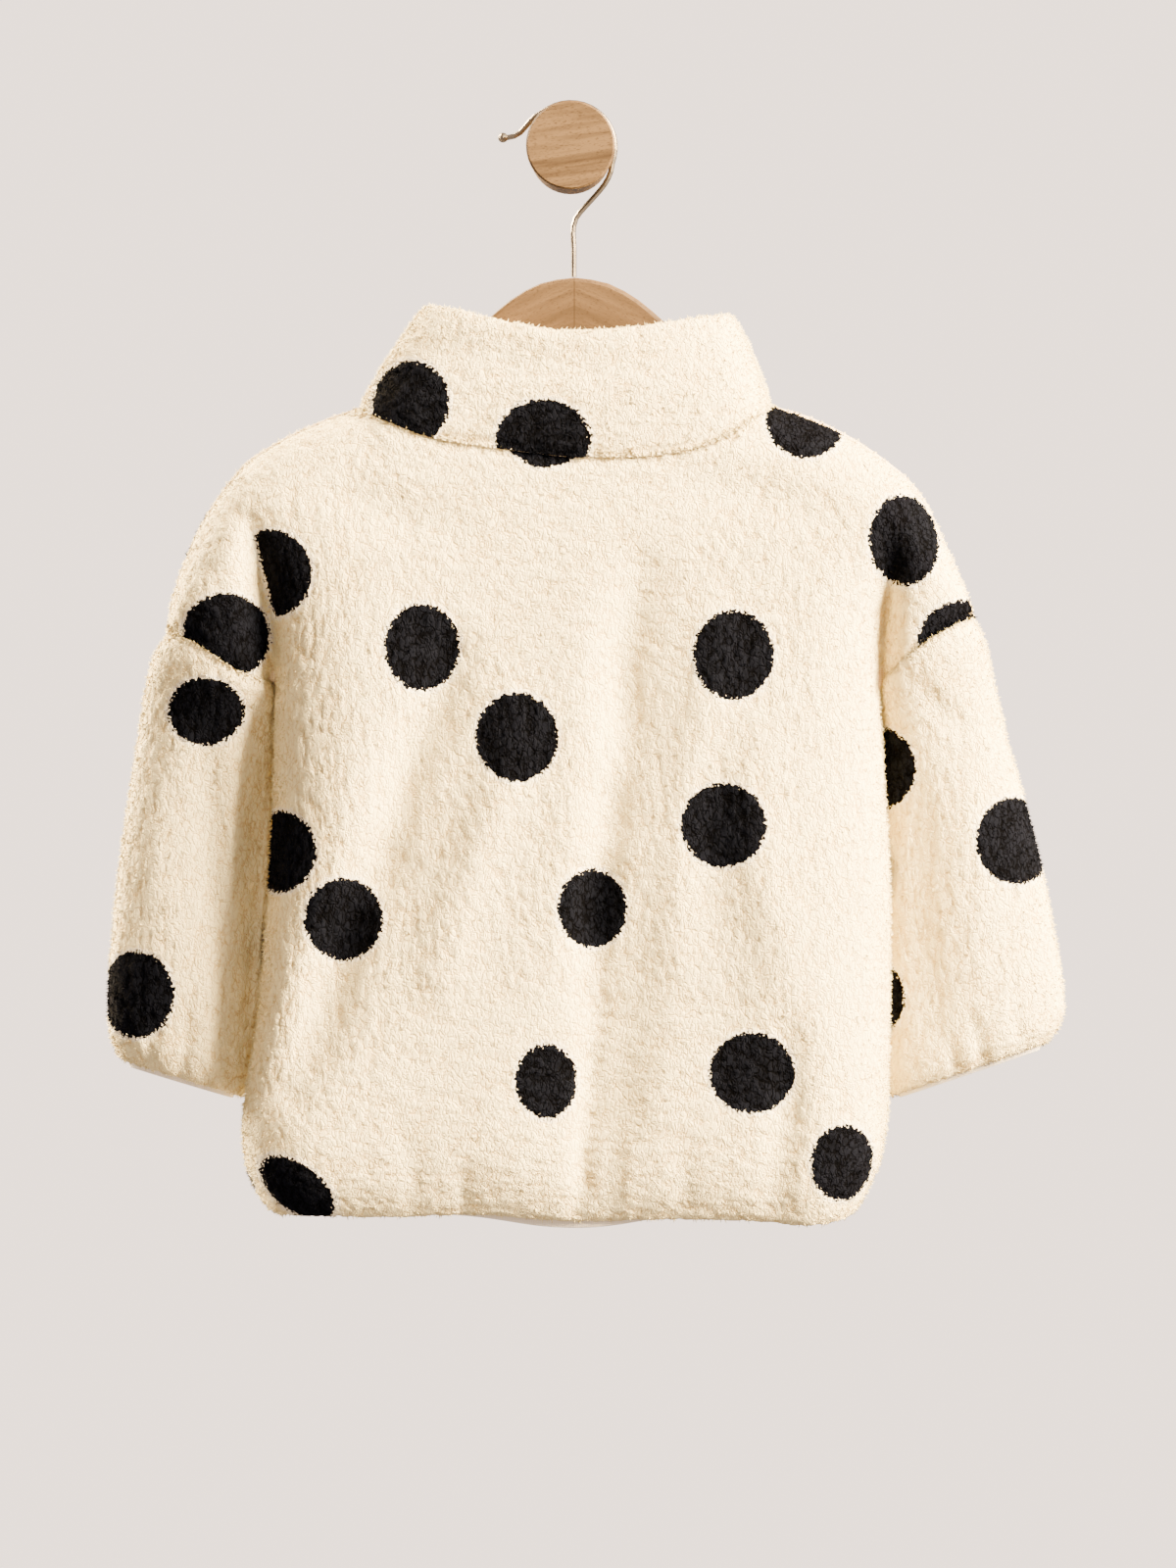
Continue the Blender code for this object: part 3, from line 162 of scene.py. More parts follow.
# ---------------------------------------------------------------- finishes
@dataclass(frozen=True)
class TeddyFleece:
    """Polyester teddy fleece: a knitted ground with short pile that clumps in soft curls.

    The eye sees a matt, warm cream with wavy, mostly upright cracks between the curls,
    and near-black printed dots whose edges are broken up by pale pile.
    """

    tip: str = "#F5E7B4"
    # The shade colour and the two crack colours below are painted shade, darker where the pile is
    # low between the curls.
    shade: str = "#F1DFAA"
    crack_shade: str = "#DAC189"
    halo: str = "#F6F0E2"
    dot_tip: str = "#0B0D14"
    dot_crack_shade: str = "#010102"
    curl_wide_mm: float = 2.4
    curl_tall_mm: float = 5.4
    crack_width: float = 0.18
    warp_grain_mm: float = 3.2
    warp_mm: float = 2.2
    # Single fibres are 0.02 mm thick; they are drawn 0.5 mm thick so that they show.
    fibre_mm: float = 0.5
    fibre_share: float = 0.7
    patch_mm: float = 16.0
    # What the fine curls, the mesh's own pile and the patches each add to the height
    # that sets the colour, with painted shade where it is low.
    height_shares: tuple[float, float, float] = (0.34, 0.45, 0.30)
    ragged_grain_mm: float = 1.5
    ragged_mm: float = 3.6
    edge_blur_mm: float = 0.10
    halo_mm: float = 2.4
    halo_share: float = 0.85

    def material(self) -> bpy.types.Material:
        """Builds the material: matt, no gloss, with painted shade in the cracks between the curls.

        Returns:
            The material, which reads the mesh's dot and pile attributes.
        """
        material, tree, shader = new_material(
            "teddy_fleece_pile", {"Roughness": 0.95, "Specular IOR Level": 0.03}
        )
        place = add_node(tree, "TexCoord").outputs["Object"]
        pile, dot = (
            add_node(tree, "Attribute", {"attribute_name": name}).outputs["Fac"]
            for name in ("pile", "dot")
        )
        # The cracks show in some places more than in others, as the nap lies this way or
        # that: the patches.
        warp, ragged, patches = (
            add_node(
                tree,
                "TexNoise",
                inputs={
                    "Vector": place,
                    "Scale": 1 / (grain_mm * MM),
                    "Detail": detail,
                    "Roughness": roughness,
                },
            ).outputs
            for grain_mm, detail, roughness in (
                (self.warp_grain_mm, 2.0, 0.6),
                (self.ragged_grain_mm, 2.0, 0.6),
                (self.patch_mm, 3.0, 0.5),
            )
        )
        moved = add_node(
            tree,
            "VectorMath",
            {"operation": "MULTIPLY_ADD"},
            {0: warp["Color"], 1: (self.warp_mm * 2 * MM,) * 3, 2: place},
        ).outputs[0]
        wide, tall = 1 / (self.curl_wide_mm * MM), 1 / (self.curl_tall_mm * MM)
        stretched = add_node(
            tree, "Mapping", inputs={"Vector": moved, "Scale": (wide, wide, tall)}
        ).outputs["Vector"]
        gap = add_node(
            tree, "TexVoronoi", {"feature": "DISTANCE_TO_EDGE"}, {"Vector": stretched, "Scale": 1.0}
        ).outputs["Distance"]
        curl = add_node(
            tree,
            "MapRange",
            {"interpolation_type": "SMOOTHSTEP"},
            {"Value": gap, "From Min": 0.0, "From Max": self.crack_width},
        ).outputs["Result"]
        fibres = add_node(
            tree,
            "TexNoise",
            inputs={
                "Vector": moved, "Scale": 1 / (self.fibre_mm * MM), "Detail": 2.0, "Roughness": 0.6
            },
        ).outputs["Fac"]
        sums = {"operation": "MULTIPLY_ADD"}
        fine = add_node(tree, "Math", sums, {0: fibres, 1: self.fibre_share, 2: curl}).outputs[0]
        height = 0.0
        for layer, share in zip((fine, pile, patches["Fac"]), self.height_shares):
            height = add_node(tree, "Math", sums, {0: layer, 1: share, 2: height}).outputs[0]
        # Painted shade: the cream and the black darken towards their crack colours where the height
        # is low.
        cream, black = (
            add_node(tree, "ValToRGB", inputs={"Fac": height}, stops=stops).outputs["Color"]
            for stops in (
                ((0.42, self.crack_shade), (0.66, self.shade), (0.92, self.tip)),
                ((0.52, self.dot_crack_shade), (0.95, self.dot_tip)),
            )
        )
        edge = add_node(
            tree, "Math", sums, {0: ragged["Fac"], 1: 2 * self.ragged_mm, 2: dot}
        ).outputs[0]
        around, inside = (
            add_node(
                tree,
                "MapRange",
                inputs={
                    "Value": edge,
                    "From Min": self.ragged_mm + outer,
                    "From Max": self.ragged_mm - inner,
                    "To Max": share,
                },
            ).outputs["Result"]
            for outer, inner, share in (
                (self.halo_mm, 0.0, self.halo_share), (self.edge_blur_mm, self.edge_blur_mm, 1.0)
            )
        )
        # Inputs 6 and 7 of a Mix node, and its output 2, are its colours.
        colour = cream
        for share, over in ((around, self.halo), (inside, black)):
            colour = add_node(
                tree, "Mix", {"data_type": "RGBA"}, {0: share, 6: colour, 7: over}
            ).outputs[2]
        bump = add_node(
            tree, "Bump", inputs={"Height": fine, "Strength": 0.65, "Distance": 1.0 * MM}
        ).outputs["Normal"]
        set_inputs(tree, shader, {"Base Color": colour, "Normal": bump})
        return material


@dataclass(frozen=True)
class Jersey:
    """Knitted polyester, worn soft: rows of small loops.

    The eye sees a matt, paler cream than the pile, with a slight rib.
    """

    name: str
    colour: str
    shadow: str
    # Real loops are 0.5 mm; they are drawn about twice as coarse so that they show.
    loop_mm: float = 1.1
    rib_mm: float = 1.4
    roughness: float = 0.85

    def material(self) -> bpy.types.Material:
        """Builds the material, with loops as crossed waves and painted shadow between them.

        Returns:
            The material.
        """
        material, tree, shader = new_material(
            self.name, {"Roughness": self.roughness, "Sheen Weight": 0.15}
        )
        place = add_node(tree, "TexCoord").outputs["Object"]
        loops = 0.0
        for direction, spacing in (("Z", self.loop_mm), ("X", self.rib_mm)):
            wave = add_node(
                tree,
                "TexWave",
                {"bands_direction": direction},
                {
                    "Vector": place,
                    "Scale": WAVE_OF_ONE_METRE / (spacing * MM),
                    "Distortion": 1.0,
                    "Detail": 1.0,
                },
            ).outputs["Fac"]
            loops = add_node(
                tree, "Math", {"operation": "MULTIPLY_ADD"}, {0: wave, 1: 0.5, 2: loops}
            ).outputs[0]
        colour = add_node(
            tree, "ValToRGB", inputs={"Fac": loops}, stops=((0.1, self.shadow), (0.75, self.colour))
        ).outputs["Color"]
        bump = add_node(
            tree, "Bump", inputs={"Height": loops, "Strength": 0.4, "Distance": 0.25 * MM}
        ).outputs["Normal"]
        set_inputs(tree, shader, {"Base Color": colour, "Normal": bump})
        return material


@dataclass(frozen=True)
class Beech:
    """Beech, sanded and left with a thin matt oil.

    The eye sees straight fine grain and short dark flecks where rays are cut across.
    """

    name: str
    light: str = "#57442E"
    dark: str = "#433321"
    fleck: str = "#281B0F"
    slope_deg: float = 8.0
    matched: bool = False
    centre_x_mm: float = 0.0
    # A growth band is about 4 mm wide, and 70 mm long before it wavers.
    band_mm: tuple[float, float, float] = (70.0, 6.2, 3.8)
    # Rays show as dashes about 2 mm long and 0.5 mm wide.
    ray_mm: tuple[float, float, float] = (2.1, 0.55, 0.5)
    joint_mm: float = 0.35
    fleck_share: float = 0.55

    def material(self) -> bpy.types.Material:
        """Builds the material; matched grain runs up to a joint in the middle from both sides.

        Returns:
            The material.
        """
        material, tree, shader = new_material(
            self.name, {"Roughness": 0.6, "Specular IOR Level": 0.15}
        )
        place = add_node(tree, "TexCoord").outputs["Object"]
        placed = add_node(
            tree,
            "Mapping",
            inputs={"Vector": place, "Location": (-self.centre_x_mm * MM, 0.0, 0.0)},
        ).outputs["Vector"]
        if self.matched:
            # The board lies wholly under z 0 and behind y 0, so only x is folded here.
            placed = add_node(tree, "VectorMath", {"operation": "ABSOLUTE"}, {0: placed}).outputs[0]
        turned = add_node(
            tree,
            "Mapping",
            inputs={"Vector": placed, "Rotation": (0.0, math.radians(self.slope_deg), 0.0)},
        ).outputs["Vector"]
        bands, dashes = (
            add_node(
                tree,
                "Mapping",
                inputs={"Vector": turned, "Scale": tuple(1 / (mm * MM) for mm in size_mm)},
            ).outputs["Vector"]
            for size_mm in (self.band_mm, self.ray_mm)
        )
        growth = add_node(
            tree,
            "TexNoise",
            inputs={
                "Vector": bands, "Scale": 1.0, "Detail": 3.0, "Roughness": 0.55, "Distortion": 0.3
            },
        ).outputs["Fac"]
        rays = add_node(
            tree, "TexNoise", inputs={"Vector": dashes, "Scale": 1.0, "Detail": 1.0}
        ).outputs["Fac"]
        # Each dark mark: what it is found in, where it starts and where it is full.
        marks = [(rays, 0.57, 0.68)]
        if self.matched:
            across = add_node(tree, "SeparateXYZ", inputs={"Vector": placed}).outputs["X"]
            marks.append((across, self.joint_mm * MM, 0.8 * self.joint_mm * MM))
        colour = add_node(
            tree, "ValToRGB", inputs={"Fac": growth}, stops=((0.32, self.dark), (0.62, self.light))
        ).outputs["Color"]
        for value, start, full in marks:
            mark = add_node(
                tree,
                "MapRange",
                inputs={
                    "Value": value, "From Min": start, "From Max": full, "To Max": self.fleck_share
                },
            ).outputs["Result"]
            colour = add_node(
                tree, "Mix", {"data_type": "RGBA"}, {0: mark, 6: colour, 7: self.fleck}
            ).outputs[2]
        bump = add_node(
            tree, "Bump", inputs={"Height": growth, "Strength": 0.25, "Distance": 0.15 * MM}
        ).outputs["Normal"]
        set_inputs(tree, shader, {"Base Color": colour, "Normal": bump})
        return material


@dataclass(frozen=True)
class SatinNickel:
    """Nickel-plated steel, bead-blasted to a satin.

    The eye sees soft, warm grey reflections with faint cloudy wear.
    """

    name: str
    colour: str = "#8F877B"
    worn: str = "#6E665B"
    roughness: float = 0.3
    cloud_mm: float = 3.0

    def material(self) -> bpy.types.Material:
        """Builds the material, with wear in its colour and its roughness.

        Returns:
            The material.
        """
        material, tree, shader = new_material(self.name, {"Metallic": 1.0})
        place = add_node(tree, "TexCoord").outputs["Object"]
        clouds = add_node(
            tree,
            "TexNoise",
            inputs={"Vector": place, "Scale": 1 / (self.cloud_mm * MM), "Detail": 4.0},
        ).outputs["Fac"]
        colour = add_node(
            tree, "ValToRGB", inputs={"Fac": clouds}, stops=((0.3, self.worn), (0.6, self.colour))
        ).outputs["Color"]
        rough = add_node(
            tree,
            "MapRange",
            inputs={
                "Value": clouds, "To Min": self.roughness + 0.08, "To Max": self.roughness - 0.06
            },
        ).outputs["Result"]
        set_inputs(tree, shader, {"Base Color": colour, "Roughness": rough})
        return material


@dataclass(frozen=True)
class ZipTape:
    """Woven polyester tape.

    The eye sees a flat, matt strip with a fine diagonal weave.
    """

    colour: str = "#E9D3AB"
    shadow: str = "#BFA374"
    # Real threads are 0.3 mm apart; they are drawn coarser so that they show.
    thread_mm: float = 0.7

    def material(self) -> bpy.types.Material:
        """Builds the material.

        Returns:
            The material.
        """
        material, tree, shader = new_material("woven_zip_tape", {"Roughness": 0.8})
        place = add_node(tree, "TexCoord").outputs["Object"]
        weave = add_node(
            tree,
            "TexWave",
            {"bands_direction": "DIAGONAL"},
            {
                "Vector": place,
                "Scale": WAVE_OF_ONE_METRE / (self.thread_mm * MM),
                "Distortion": 0.4,
            },
        ).outputs["Fac"]
        # Painted shadow in the low lines of the weave.
        colour = add_node(
            tree, "ValToRGB", inputs={"Fac": weave}, stops=((0.2, self.shadow), (0.8, self.colour))
        ).outputs["Color"]
        bump = add_node(
            tree, "Bump", inputs={"Height": weave, "Strength": 0.35, "Distance": 0.2 * MM}
        ).outputs["Normal"]
        set_inputs(tree, shader, {"Base Color": colour, "Normal": bump})
        return material


# ---------------------------------------------------------------- mesh helpers
def cad_copy(node: str) -> bmesh.types.BMesh:
    """Copies a CAD node, with its points merged and its triangles paired into quads.

    Args:
        node: the node's name.

    Returns:
        The copy.
    """
    mesh = bmesh.new()
    mesh.from_mesh(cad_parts[node].data)
    bmesh.ops.remove_doubles(mesh, verts=mesh.verts, dist=1e-6)
    bmesh.ops.join_triangles(
        mesh,
        faces=mesh.faces,
        angle_face_threshold=math.radians(35),
        angle_shape_threshold=math.radians(50),
    )
    return mesh


def as_object(
    name: str, mesh: bmesh.types.BMesh, materials: tuple[bpy.types.Material, ...] = ()
) -> bpy.types.Object:
    """Makes an object of a bmesh and puts it in the scene.

    Args:
        name: the name of the object and of its mesh.
        mesh: the bmesh, which is left as it was.
        materials: the material slots.

    Returns:
        The object.
    """
    data = bpy.data.meshes.new(name)
    mesh.to_mesh(data)
    for material in materials:
        data.materials.append(material)
    made = bpy.data.objects.new(name, data)
    bpy.context.scene.collection.objects.link(made)
    return made


def subdivided(mesh: bmesh.types.BMesh, levels: int) -> bmesh.types.BMesh:
    """Subdivides a mesh by the Catmull-Clark rule.

    Args:
        mesh: the bmesh, which is left as it was.
        levels: how many times each face is divided in four.

    Returns:
        The divided bmesh.
    """
    carrier = as_object("division", mesh)
    modifier = carrier.modifiers.new("division", "SUBSURF")
    modifier.levels = modifier.render_levels = levels
    graph = bpy.context.evaluated_depsgraph_get()
    data = bpy.data.meshes.new_from_object(carrier.evaluated_get(graph))
    divided = bmesh.new()
    divided.from_mesh(data)
    carried = carrier.data
    bpy.data.objects.remove(carrier)
    for used in (data, carried):
        bpy.data.meshes.remove(used)
    return divided


def finished(
    name: str, mesh: bmesh.types.BMesh, materials: tuple[bpy.types.Material, ...]
) -> bpy.types.Object:
    """Makes a piece of a bmesh, dresses it and lets it ride on the garment.

    Args:
        name: the piece's name.
        mesh: its mesh, in metres, in the frame's own place; it is freed.
        materials: its material slots.

    Returns:
        The piece.
    """
    piece = as_object(name, mesh, materials)
    mesh.free()
    piece.data.shade_smooth()
    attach(piece, BODY)
    return piece


def dress_node(node: str, material: bpy.types.Material) -> None:
    """Gives a CAD node that keeps its shape its finish.

    Args:
        node: the node's name.
        material: the finish.
    """
    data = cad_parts[node].data
    data.materials.clear()
    data.materials.append(material)
    LOG.info("dressed %s", node)


def search_tree(points: list[Vector]) -> KDTree:
    """Sorts points, so that the nearest one is found quickly.

    Args:
        points: the points, at least one.

    Returns:
        Their search tree.
    """
    tree = KDTree(len(points))
    for index, point in enumerate(points):
        tree.insert(point, index)
    tree.balance()
    return tree


def surface_of(nodes: list[str]) -> BVHTree:
    """Sorts the faces of CAD nodes, so that the nearest one is found quickly.

    Args:
        nodes: the nodes' names.

    Returns:
        The search tree of all their faces.
    """
    places: list[Vector] = []
    faces: list[tuple[int, ...]] = []
    for node in nodes:
        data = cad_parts[node].data
        start = len(places)
        places += [v.co.copy() for v in data.vertices]
        faces += [tuple(start + i for i in p.vertices) for p in data.polygons]
    return BVHTree.FromPolygons(places, faces)


def smooth_noise(points: np.ndarray, size_mm: float, seed: float) -> np.ndarray:
    """Reads Perlin noise.

    Args:
        points: where it is read, in metres.
        size_mm: the size of its grain.
        seed: which noise it is.

    Returns:
        Its value at each point, about -1 to 1.
    """
    scale = 1 / (size_mm * MM)
    # Each seed reads the noise at a place far from the others.
    offset = Vector((seed * 17.3, seed * 5.1, seed * 9.7))
    return np.array([noise.noise(Vector(p) * scale + offset) for p in points])


def smoothstep(values: np.ndarray) -> np.ndarray:
    """The smooth rise from 0 to 1 of values between 0 and 1."""
    t = np.clip(values, 0.0, 1.0)
    return t * t * (3 - 2 * t)


def on_pile(part: bmesh.types.BMVert | bmesh.types.BMEdge) -> bool:
    """Whether all faces at a point or an edge are on the cloth's pile side."""
    return all(f.material_index == ClothSide.PILE.value for f in part.link_faces)


# ---------------------------------------------------------------- fleece pieces
@dataclass(frozen=True)
class Dot:
    """A dot of the print: its middle as seen, and half of its width and height, in mm.

    A fold line, from its first point down to its second, hides what lies on its left
    as seen from the back. A slope turns the dot up at its right, where it isn't round.
    """

    x: float
    z: float
    half_width: float
    half_height: float
    facing: Facing = Facing.BACK
    fold: tuple[float, float, float, float] | None = None
    slope_deg: float = 0.0
    # How deep it reaches, in half widths, so that it keeps its seen shape on cloth that
    # slopes away, and how much less past a side, where it is round.
    depth: float = 2.2
    depth_loss: float = 1.15
    side_turn: float = 0.5

    def distance(self, surface: BVHTree, points: np.ndarray, normals: np.ndarray) -> np.ndarray:
        """Measures how far points are from the dot's edge.

        Args:
            surface: the surface that it is printed on.
            points: the points, in metres.
            normals: which way the cloth looks at each point.

        Returns:
            The distance in mm at each point, under 0 inside the dot.
        """
        facing = self.facing.value
        start = Vector((self.x * MM, facing * RAY_START, self.z * MM))
        hit = surface.ray_cast(start, Vector((0.0, -facing, 0.0)))[0]
        if hit is None:
            # A middle just past the outline takes the depth of the cloth nearest to it.
            near = surface.find_nearest(Vector((start.x, SEAM_PLANE_Y * MM, start.z)))[0]
            hit = Vector((start.x, near.y, start.z))
        offset = (points - np.array(hit)) / MM
        hidden = smoothstep((-facing * normals[:, 1]) / self.side_turn)
        offset[:, 1] /= self.depth - self.depth_loss * hidden
        offset = offset @ np.array(Matrix.Rotation(math.radians(-self.slope_deg), 3, "Y"))
        half = np.array((self.half_width, self.half_width, self.half_height))
        reach = np.sqrt(((offset / half) ** 2).sum(axis=1))
        edge = (reach - 1) * min(self.half_width, self.half_height)
        if self.fold is not None:
            x0, z0, x1, z1 = self.fold
            x, _, z = points.T / MM
            across = (x - x0) * (z1 - z0) - (z - z0) * (x1 - x0)
            edge = np.maximum(edge, across / math.hypot(x1 - x0, z1 - z0))
        return edge


@dataclass(frozen=True)
class Crease:
    """A soft trough (depth over 0) or ridge (under 0) along a line, in mm."""

    x0: float
    z0: float
    x1: float
    z1: float
    width: float
    depth: float
    facing: Facing = Facing.BACK
    # How far it wavers, in widths, and how many radians its wave turns along its line.
    waver: float = 0.15
    waves: float = 7.0
    # Its depth at its ends, and how much more it has in its middle.
    end_depth: float = 0.45
    more_depth: float = 0.55
    # How far from the middle of the garment it has its whole depth.
    full_from: float = 9.0

    def push(self, points: np.ndarray, inside_y: float) -> np.ndarray:
        """Works out how far the crease moves the cloth in y.

        Args:
            points: the points, in mm.
            inside_y: the y of the piece's own middle, in mm.

        Returns:
            The move at each point, in mm.
        """
        x, y, z = points.T
        run = np.array((self.x1 - self.x0, self.z1 - self.z0))
        length = float(np.hypot(*run))
        along = ((x - self.x0) * run[0] + (z - self.z0) * run[1]) / length**2
        across = ((x - self.x0) * run[1] - (z - self.z0) * run[0]) / length
        wave = self.waver * self.width * np.sin(self.waves * along + self.x0)
        past = np.maximum(np.maximum(-along, along - 1), 0.0) * length / self.width
        shape = np.exp(-(((across + wave) / self.width) ** 2) - past**2)
        taper = self.end_depth + self.more_depth * np.sin(np.clip(along, 0, 1) * math.pi)
        side = smoothstep(self.facing.value * (y - inside_y) / self.full_from)
        return -self.facing.value * self.depth * shape * taper * side


@dataclass(frozen=True)
class Nudge:
    """A soft push of the cloth round one place, in mm: its reach, and how far in x."""

    x: float
    z: float
    reach: float
    dx: float

    def push(self, points: np.ndarray) -> np.ndarray:
        """How far the nudge moves each point in x, with both in mm."""
        away = np.hypot(points[:, 0] - self.x, points[:, 2] - self.z)
        return np.exp(-((away / self.reach) ** 2)) * self.dx


@dataclass(frozen=True)
class Curls:
    """The relief of the clumped pile: the sizes of its parts, in mm, and their shares."""

    drift_grain: float = 8.0
    drift: float = 3.0
    curl: float = 4.2
    curl_edge: float = 3.2
    squeeze_z: float = 0.5
    small: float = 2.6
    broad: float = 14.0
    floor: float = 0.25
    curl_share: float = 0.62
    small_share: float = 0.22
    broad_share: float = 0.12
    top: float = 1.15

    def height(self, points: np.ndarray, seed: int) -> np.ndarray:
        """Works out the height of the pile.

        Args:
            points: the points, in metres.
            seed: the piece's own number.

        Returns:
            The height at each point, from 0 in the cracks to about 1 on the curls.
        """
        drift = [smooth_noise(points, self.drift_grain, seed + k) for k in (1, 2, 3)]
        warped = points + np.stack(drift, axis=1) * (self.drift * MM)
        tall = warped * np.array((1.0, 1.0, self.squeeze_z))
        curls = smoothstep(np.abs(smooth_noise(tall, self.curl, seed + 4)) * self.curl_edge)
        small = smooth_noise(warped, self.small, seed + 5) * self.small_share
        broad = smooth_noise(points, self.broad, seed + 6) * self.broad_share
        return np.clip(self.floor + self.curl_share * curls + small + broad, 0.0, self.top)


@dataclass(frozen=True)
class Tuft:
    """A closed spike of pile: its sizes in mm, how it leans, and its place in the relief.

    Single fibres are 0.02 mm thick; a spike stands for many, so that it shows.
    """

    half_width: tuple[float, float] = (0.30, 0.52)
    length: tuple[float, float] = (1.5, 3.0)
    rooted: float = 0.5
    scatter: float = 0.6
    sag: float = 0.25
    # A low pile height at the root gives it the painted crack shade, a high one at the tip the
    # cream of the curls.
    root_height: float = 0.6
    tip_height: float = 1.05

    def add(
        self,
        batch: bmesh.types.BMesh,
        root: Vector,
        normal: Vector,
        dot: float,
        random: np.random.Generator,
    ) -> None:
        """Adds one spike, leaning at random and a little downwards.

        Args:
            batch: the mesh that it goes in.
            root: where it stands on the cloth.
            normal: where it points, before its random lean.
            dot: the distance to the nearest dot's edge there, in mm.
            random: the piece's own random numbers.
        """
        lean = Vector(random.normal(0.0, self.scatter, 3)) + Vector((0.0, 0.0, -self.sag))
        run = (normal + lean).normalized()
        wide = random.uniform(*self.half_width) * MM
        long = random.uniform(*self.length) * MM
        middle = root + run * (long / 2 - self.rooted * MM)
        turn = run.to_track_quat("Z", "X").to_matrix().to_4x4()
        made = bmesh.ops.create_cone(
            batch,
            cap_ends=True,
            segments=3,
            radius1=wide,
            radius2=0.0,
            depth=long,
            matrix=Matrix.Translation(middle) @ turn,
        )["verts"]
        layers = batch.verts.layers.float
        for vert in made:
            at_tip = (vert.co - middle).dot(run) > 0
            vert[layers["dot"]] = dot
            vert[layers["pile"]] = self.tip_height if at_tip else self.root_height


@dataclass
class FleecePiece:
    """One cut piece of teddy fleece, made from its CAD node.

    The outer side and the free edges are divided to about edge_mm and given clumped
    pile. The cloth's inner side keeps the knitted backing.
    """

    node: str
    dots: tuple[Dot, ...]
    creases: tuple[Crease, ...]
    flat: tuple[float, float]
    area: float
    edge_mm: float
    tufts: int
    seed: int
    nudges: tuple[Nudge, ...] = ()
    inside_y: float = SEAM_PLANE_Y
    pile_mm: float = 1.1
    mean_height: float = 0.78
    cut_edge_height: float = 0.8
    curls: Curls = Curls()
    tuft: Tuft = Tuft()
    # Edges that turn more than these part the cloth's two sides, or may be sewn.
    side_turn_deg: float = 55.0
    sewn_turn_deg: float = 40.0
    seam_sharpness: float = 0.9
    seam_reach_mm: float = 1.2
    seam_dip_mm: float = 1.5
    seam_dip_width_mm: float = 4.0
    most_cuts: int = 7
    long_edge: float = 1.9
    snap_mm: float = 2.5
    # What stands for the distance where no dot is near.
    no_dot_mm: float = 50.0
    # A seam's gap is closed this near to the seam: wholly up to one width, then less
    # over the next, and not past the widest, with the pile a little past its middle.
    closing_mm: float = 14.0
    whole_gap_mm: float = 0.8
    fading_gap_mm: float = 1.4
    widest_gap_mm: float = 2.2
    least_gap_mm: float = 0.01
    overlap_mm: float = 0.6
    # How thick the tufts stand: all over, on cloth seen edge-on, and along a seam.
    plain_tufts: float = 0.10
    side_tufts: float = 3.0
    seam_tufts: float = 7.0
    seam_tufts_mm: float = 2.0
    seam_lean: float = 1.2

    def build(self, pile: bpy.types.Material, backing: bpy.types.Material) -> bpy.types.Object:
        """Builds the piece.

        Args:
            pile: the outer side's material.
            backing: the inner side's material.

        Returns:
            The finished piece, which replaces its CAD node.
        """
        base = cad_copy(self.node)
        self.tag_sides(base)
        seam_points = self.crease_seams(base)
        smooth = subdivided(base, 3)
        form = BVHTree.FromBMesh(smooth)
        smooth.free()
        mesh = subdivided(base, 1)
        base.free()
        self.divide_outer(mesh)
        self.snap(mesh, form)
        seam_far = self.dress(mesh, seam_points)
        self.add_tufts(mesh, seam_points, seam_far)
        piece = finished(f"fleece_{self.node}", mesh, (pile, backing))
        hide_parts(self.node)
        return piece

    def tag_sides(self, base: bmesh.types.BMesh) -> None:
        """Marks the inner sheet: the large stretch between sharp edges that looks inwards.

        Args:
            base: the copy of the CAD node.
        """
        groups: list[list[bmesh.types.BMFace]] = []
        seen: set[int] = set()
        base.faces.index_update()
        for start in base.faces:
            if start.index in seen:
                continue
            stack, group = [start], []
            seen.add(start.index)
            while stack:
                face = stack.pop()
                group.append(face)
                for edge in face.edges:
                    if edge.calc_face_angle(0.0) > math.radians(self.side_turn_deg):
                        continue
                    for other in edge.link_faces:
                        if other.index not in seen:
                            seen.add(other.index)
                            stack.append(other)
            groups.append(group)
        groups.sort(key=lambda g: -sum(f.calc_area() for f in g))
        middle = self.inside_y * MM
        for face in base.faces:
            face.material_index = ClothSide.PILE.value
        # The two largest groups are the cloth's two sides.
        for group in groups[:2]:
            outward = sum(
                f.calc_area() * f.normal.y * (f.calc_center_median().y - middle) for f in group
            )
            if outward < 0:
                for face in group:
                    face.material_index = ClothSide.BACKING.value

    def crease_seams(self, base: bmesh.types.BMesh) -> list[Vector]:
        """Keeps the edges sewn to other pieces sharp.

        Args:
            base: the copy of the CAD node.

        Returns:
            Points along those edges, three an edge.
        """
        others = [n for n in FLEECE_NODES if n != self.node]
        tree = search_tree([v.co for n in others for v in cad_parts[n].data.vertices])
        weight = base.edges.layers.float.get("crease_edge")
        if weight is None:
            weight = base.edges.layers.float.new("crease_edge")
        found = []
        near = self.seam_reach_mm * MM
        for edge in base.edges:
            if edge.calc_face_angle(0.0) < math.radians(self.sewn_turn_deg):
                continue
            if all(tree.find(v.co)[2] < near for v in edge.verts):
                edge[weight] = self.seam_sharpness
                found += [edge.verts[0].co.lerp(edge.verts[1].co, t) for t in (0.0, 0.33, 0.67)]
        return found

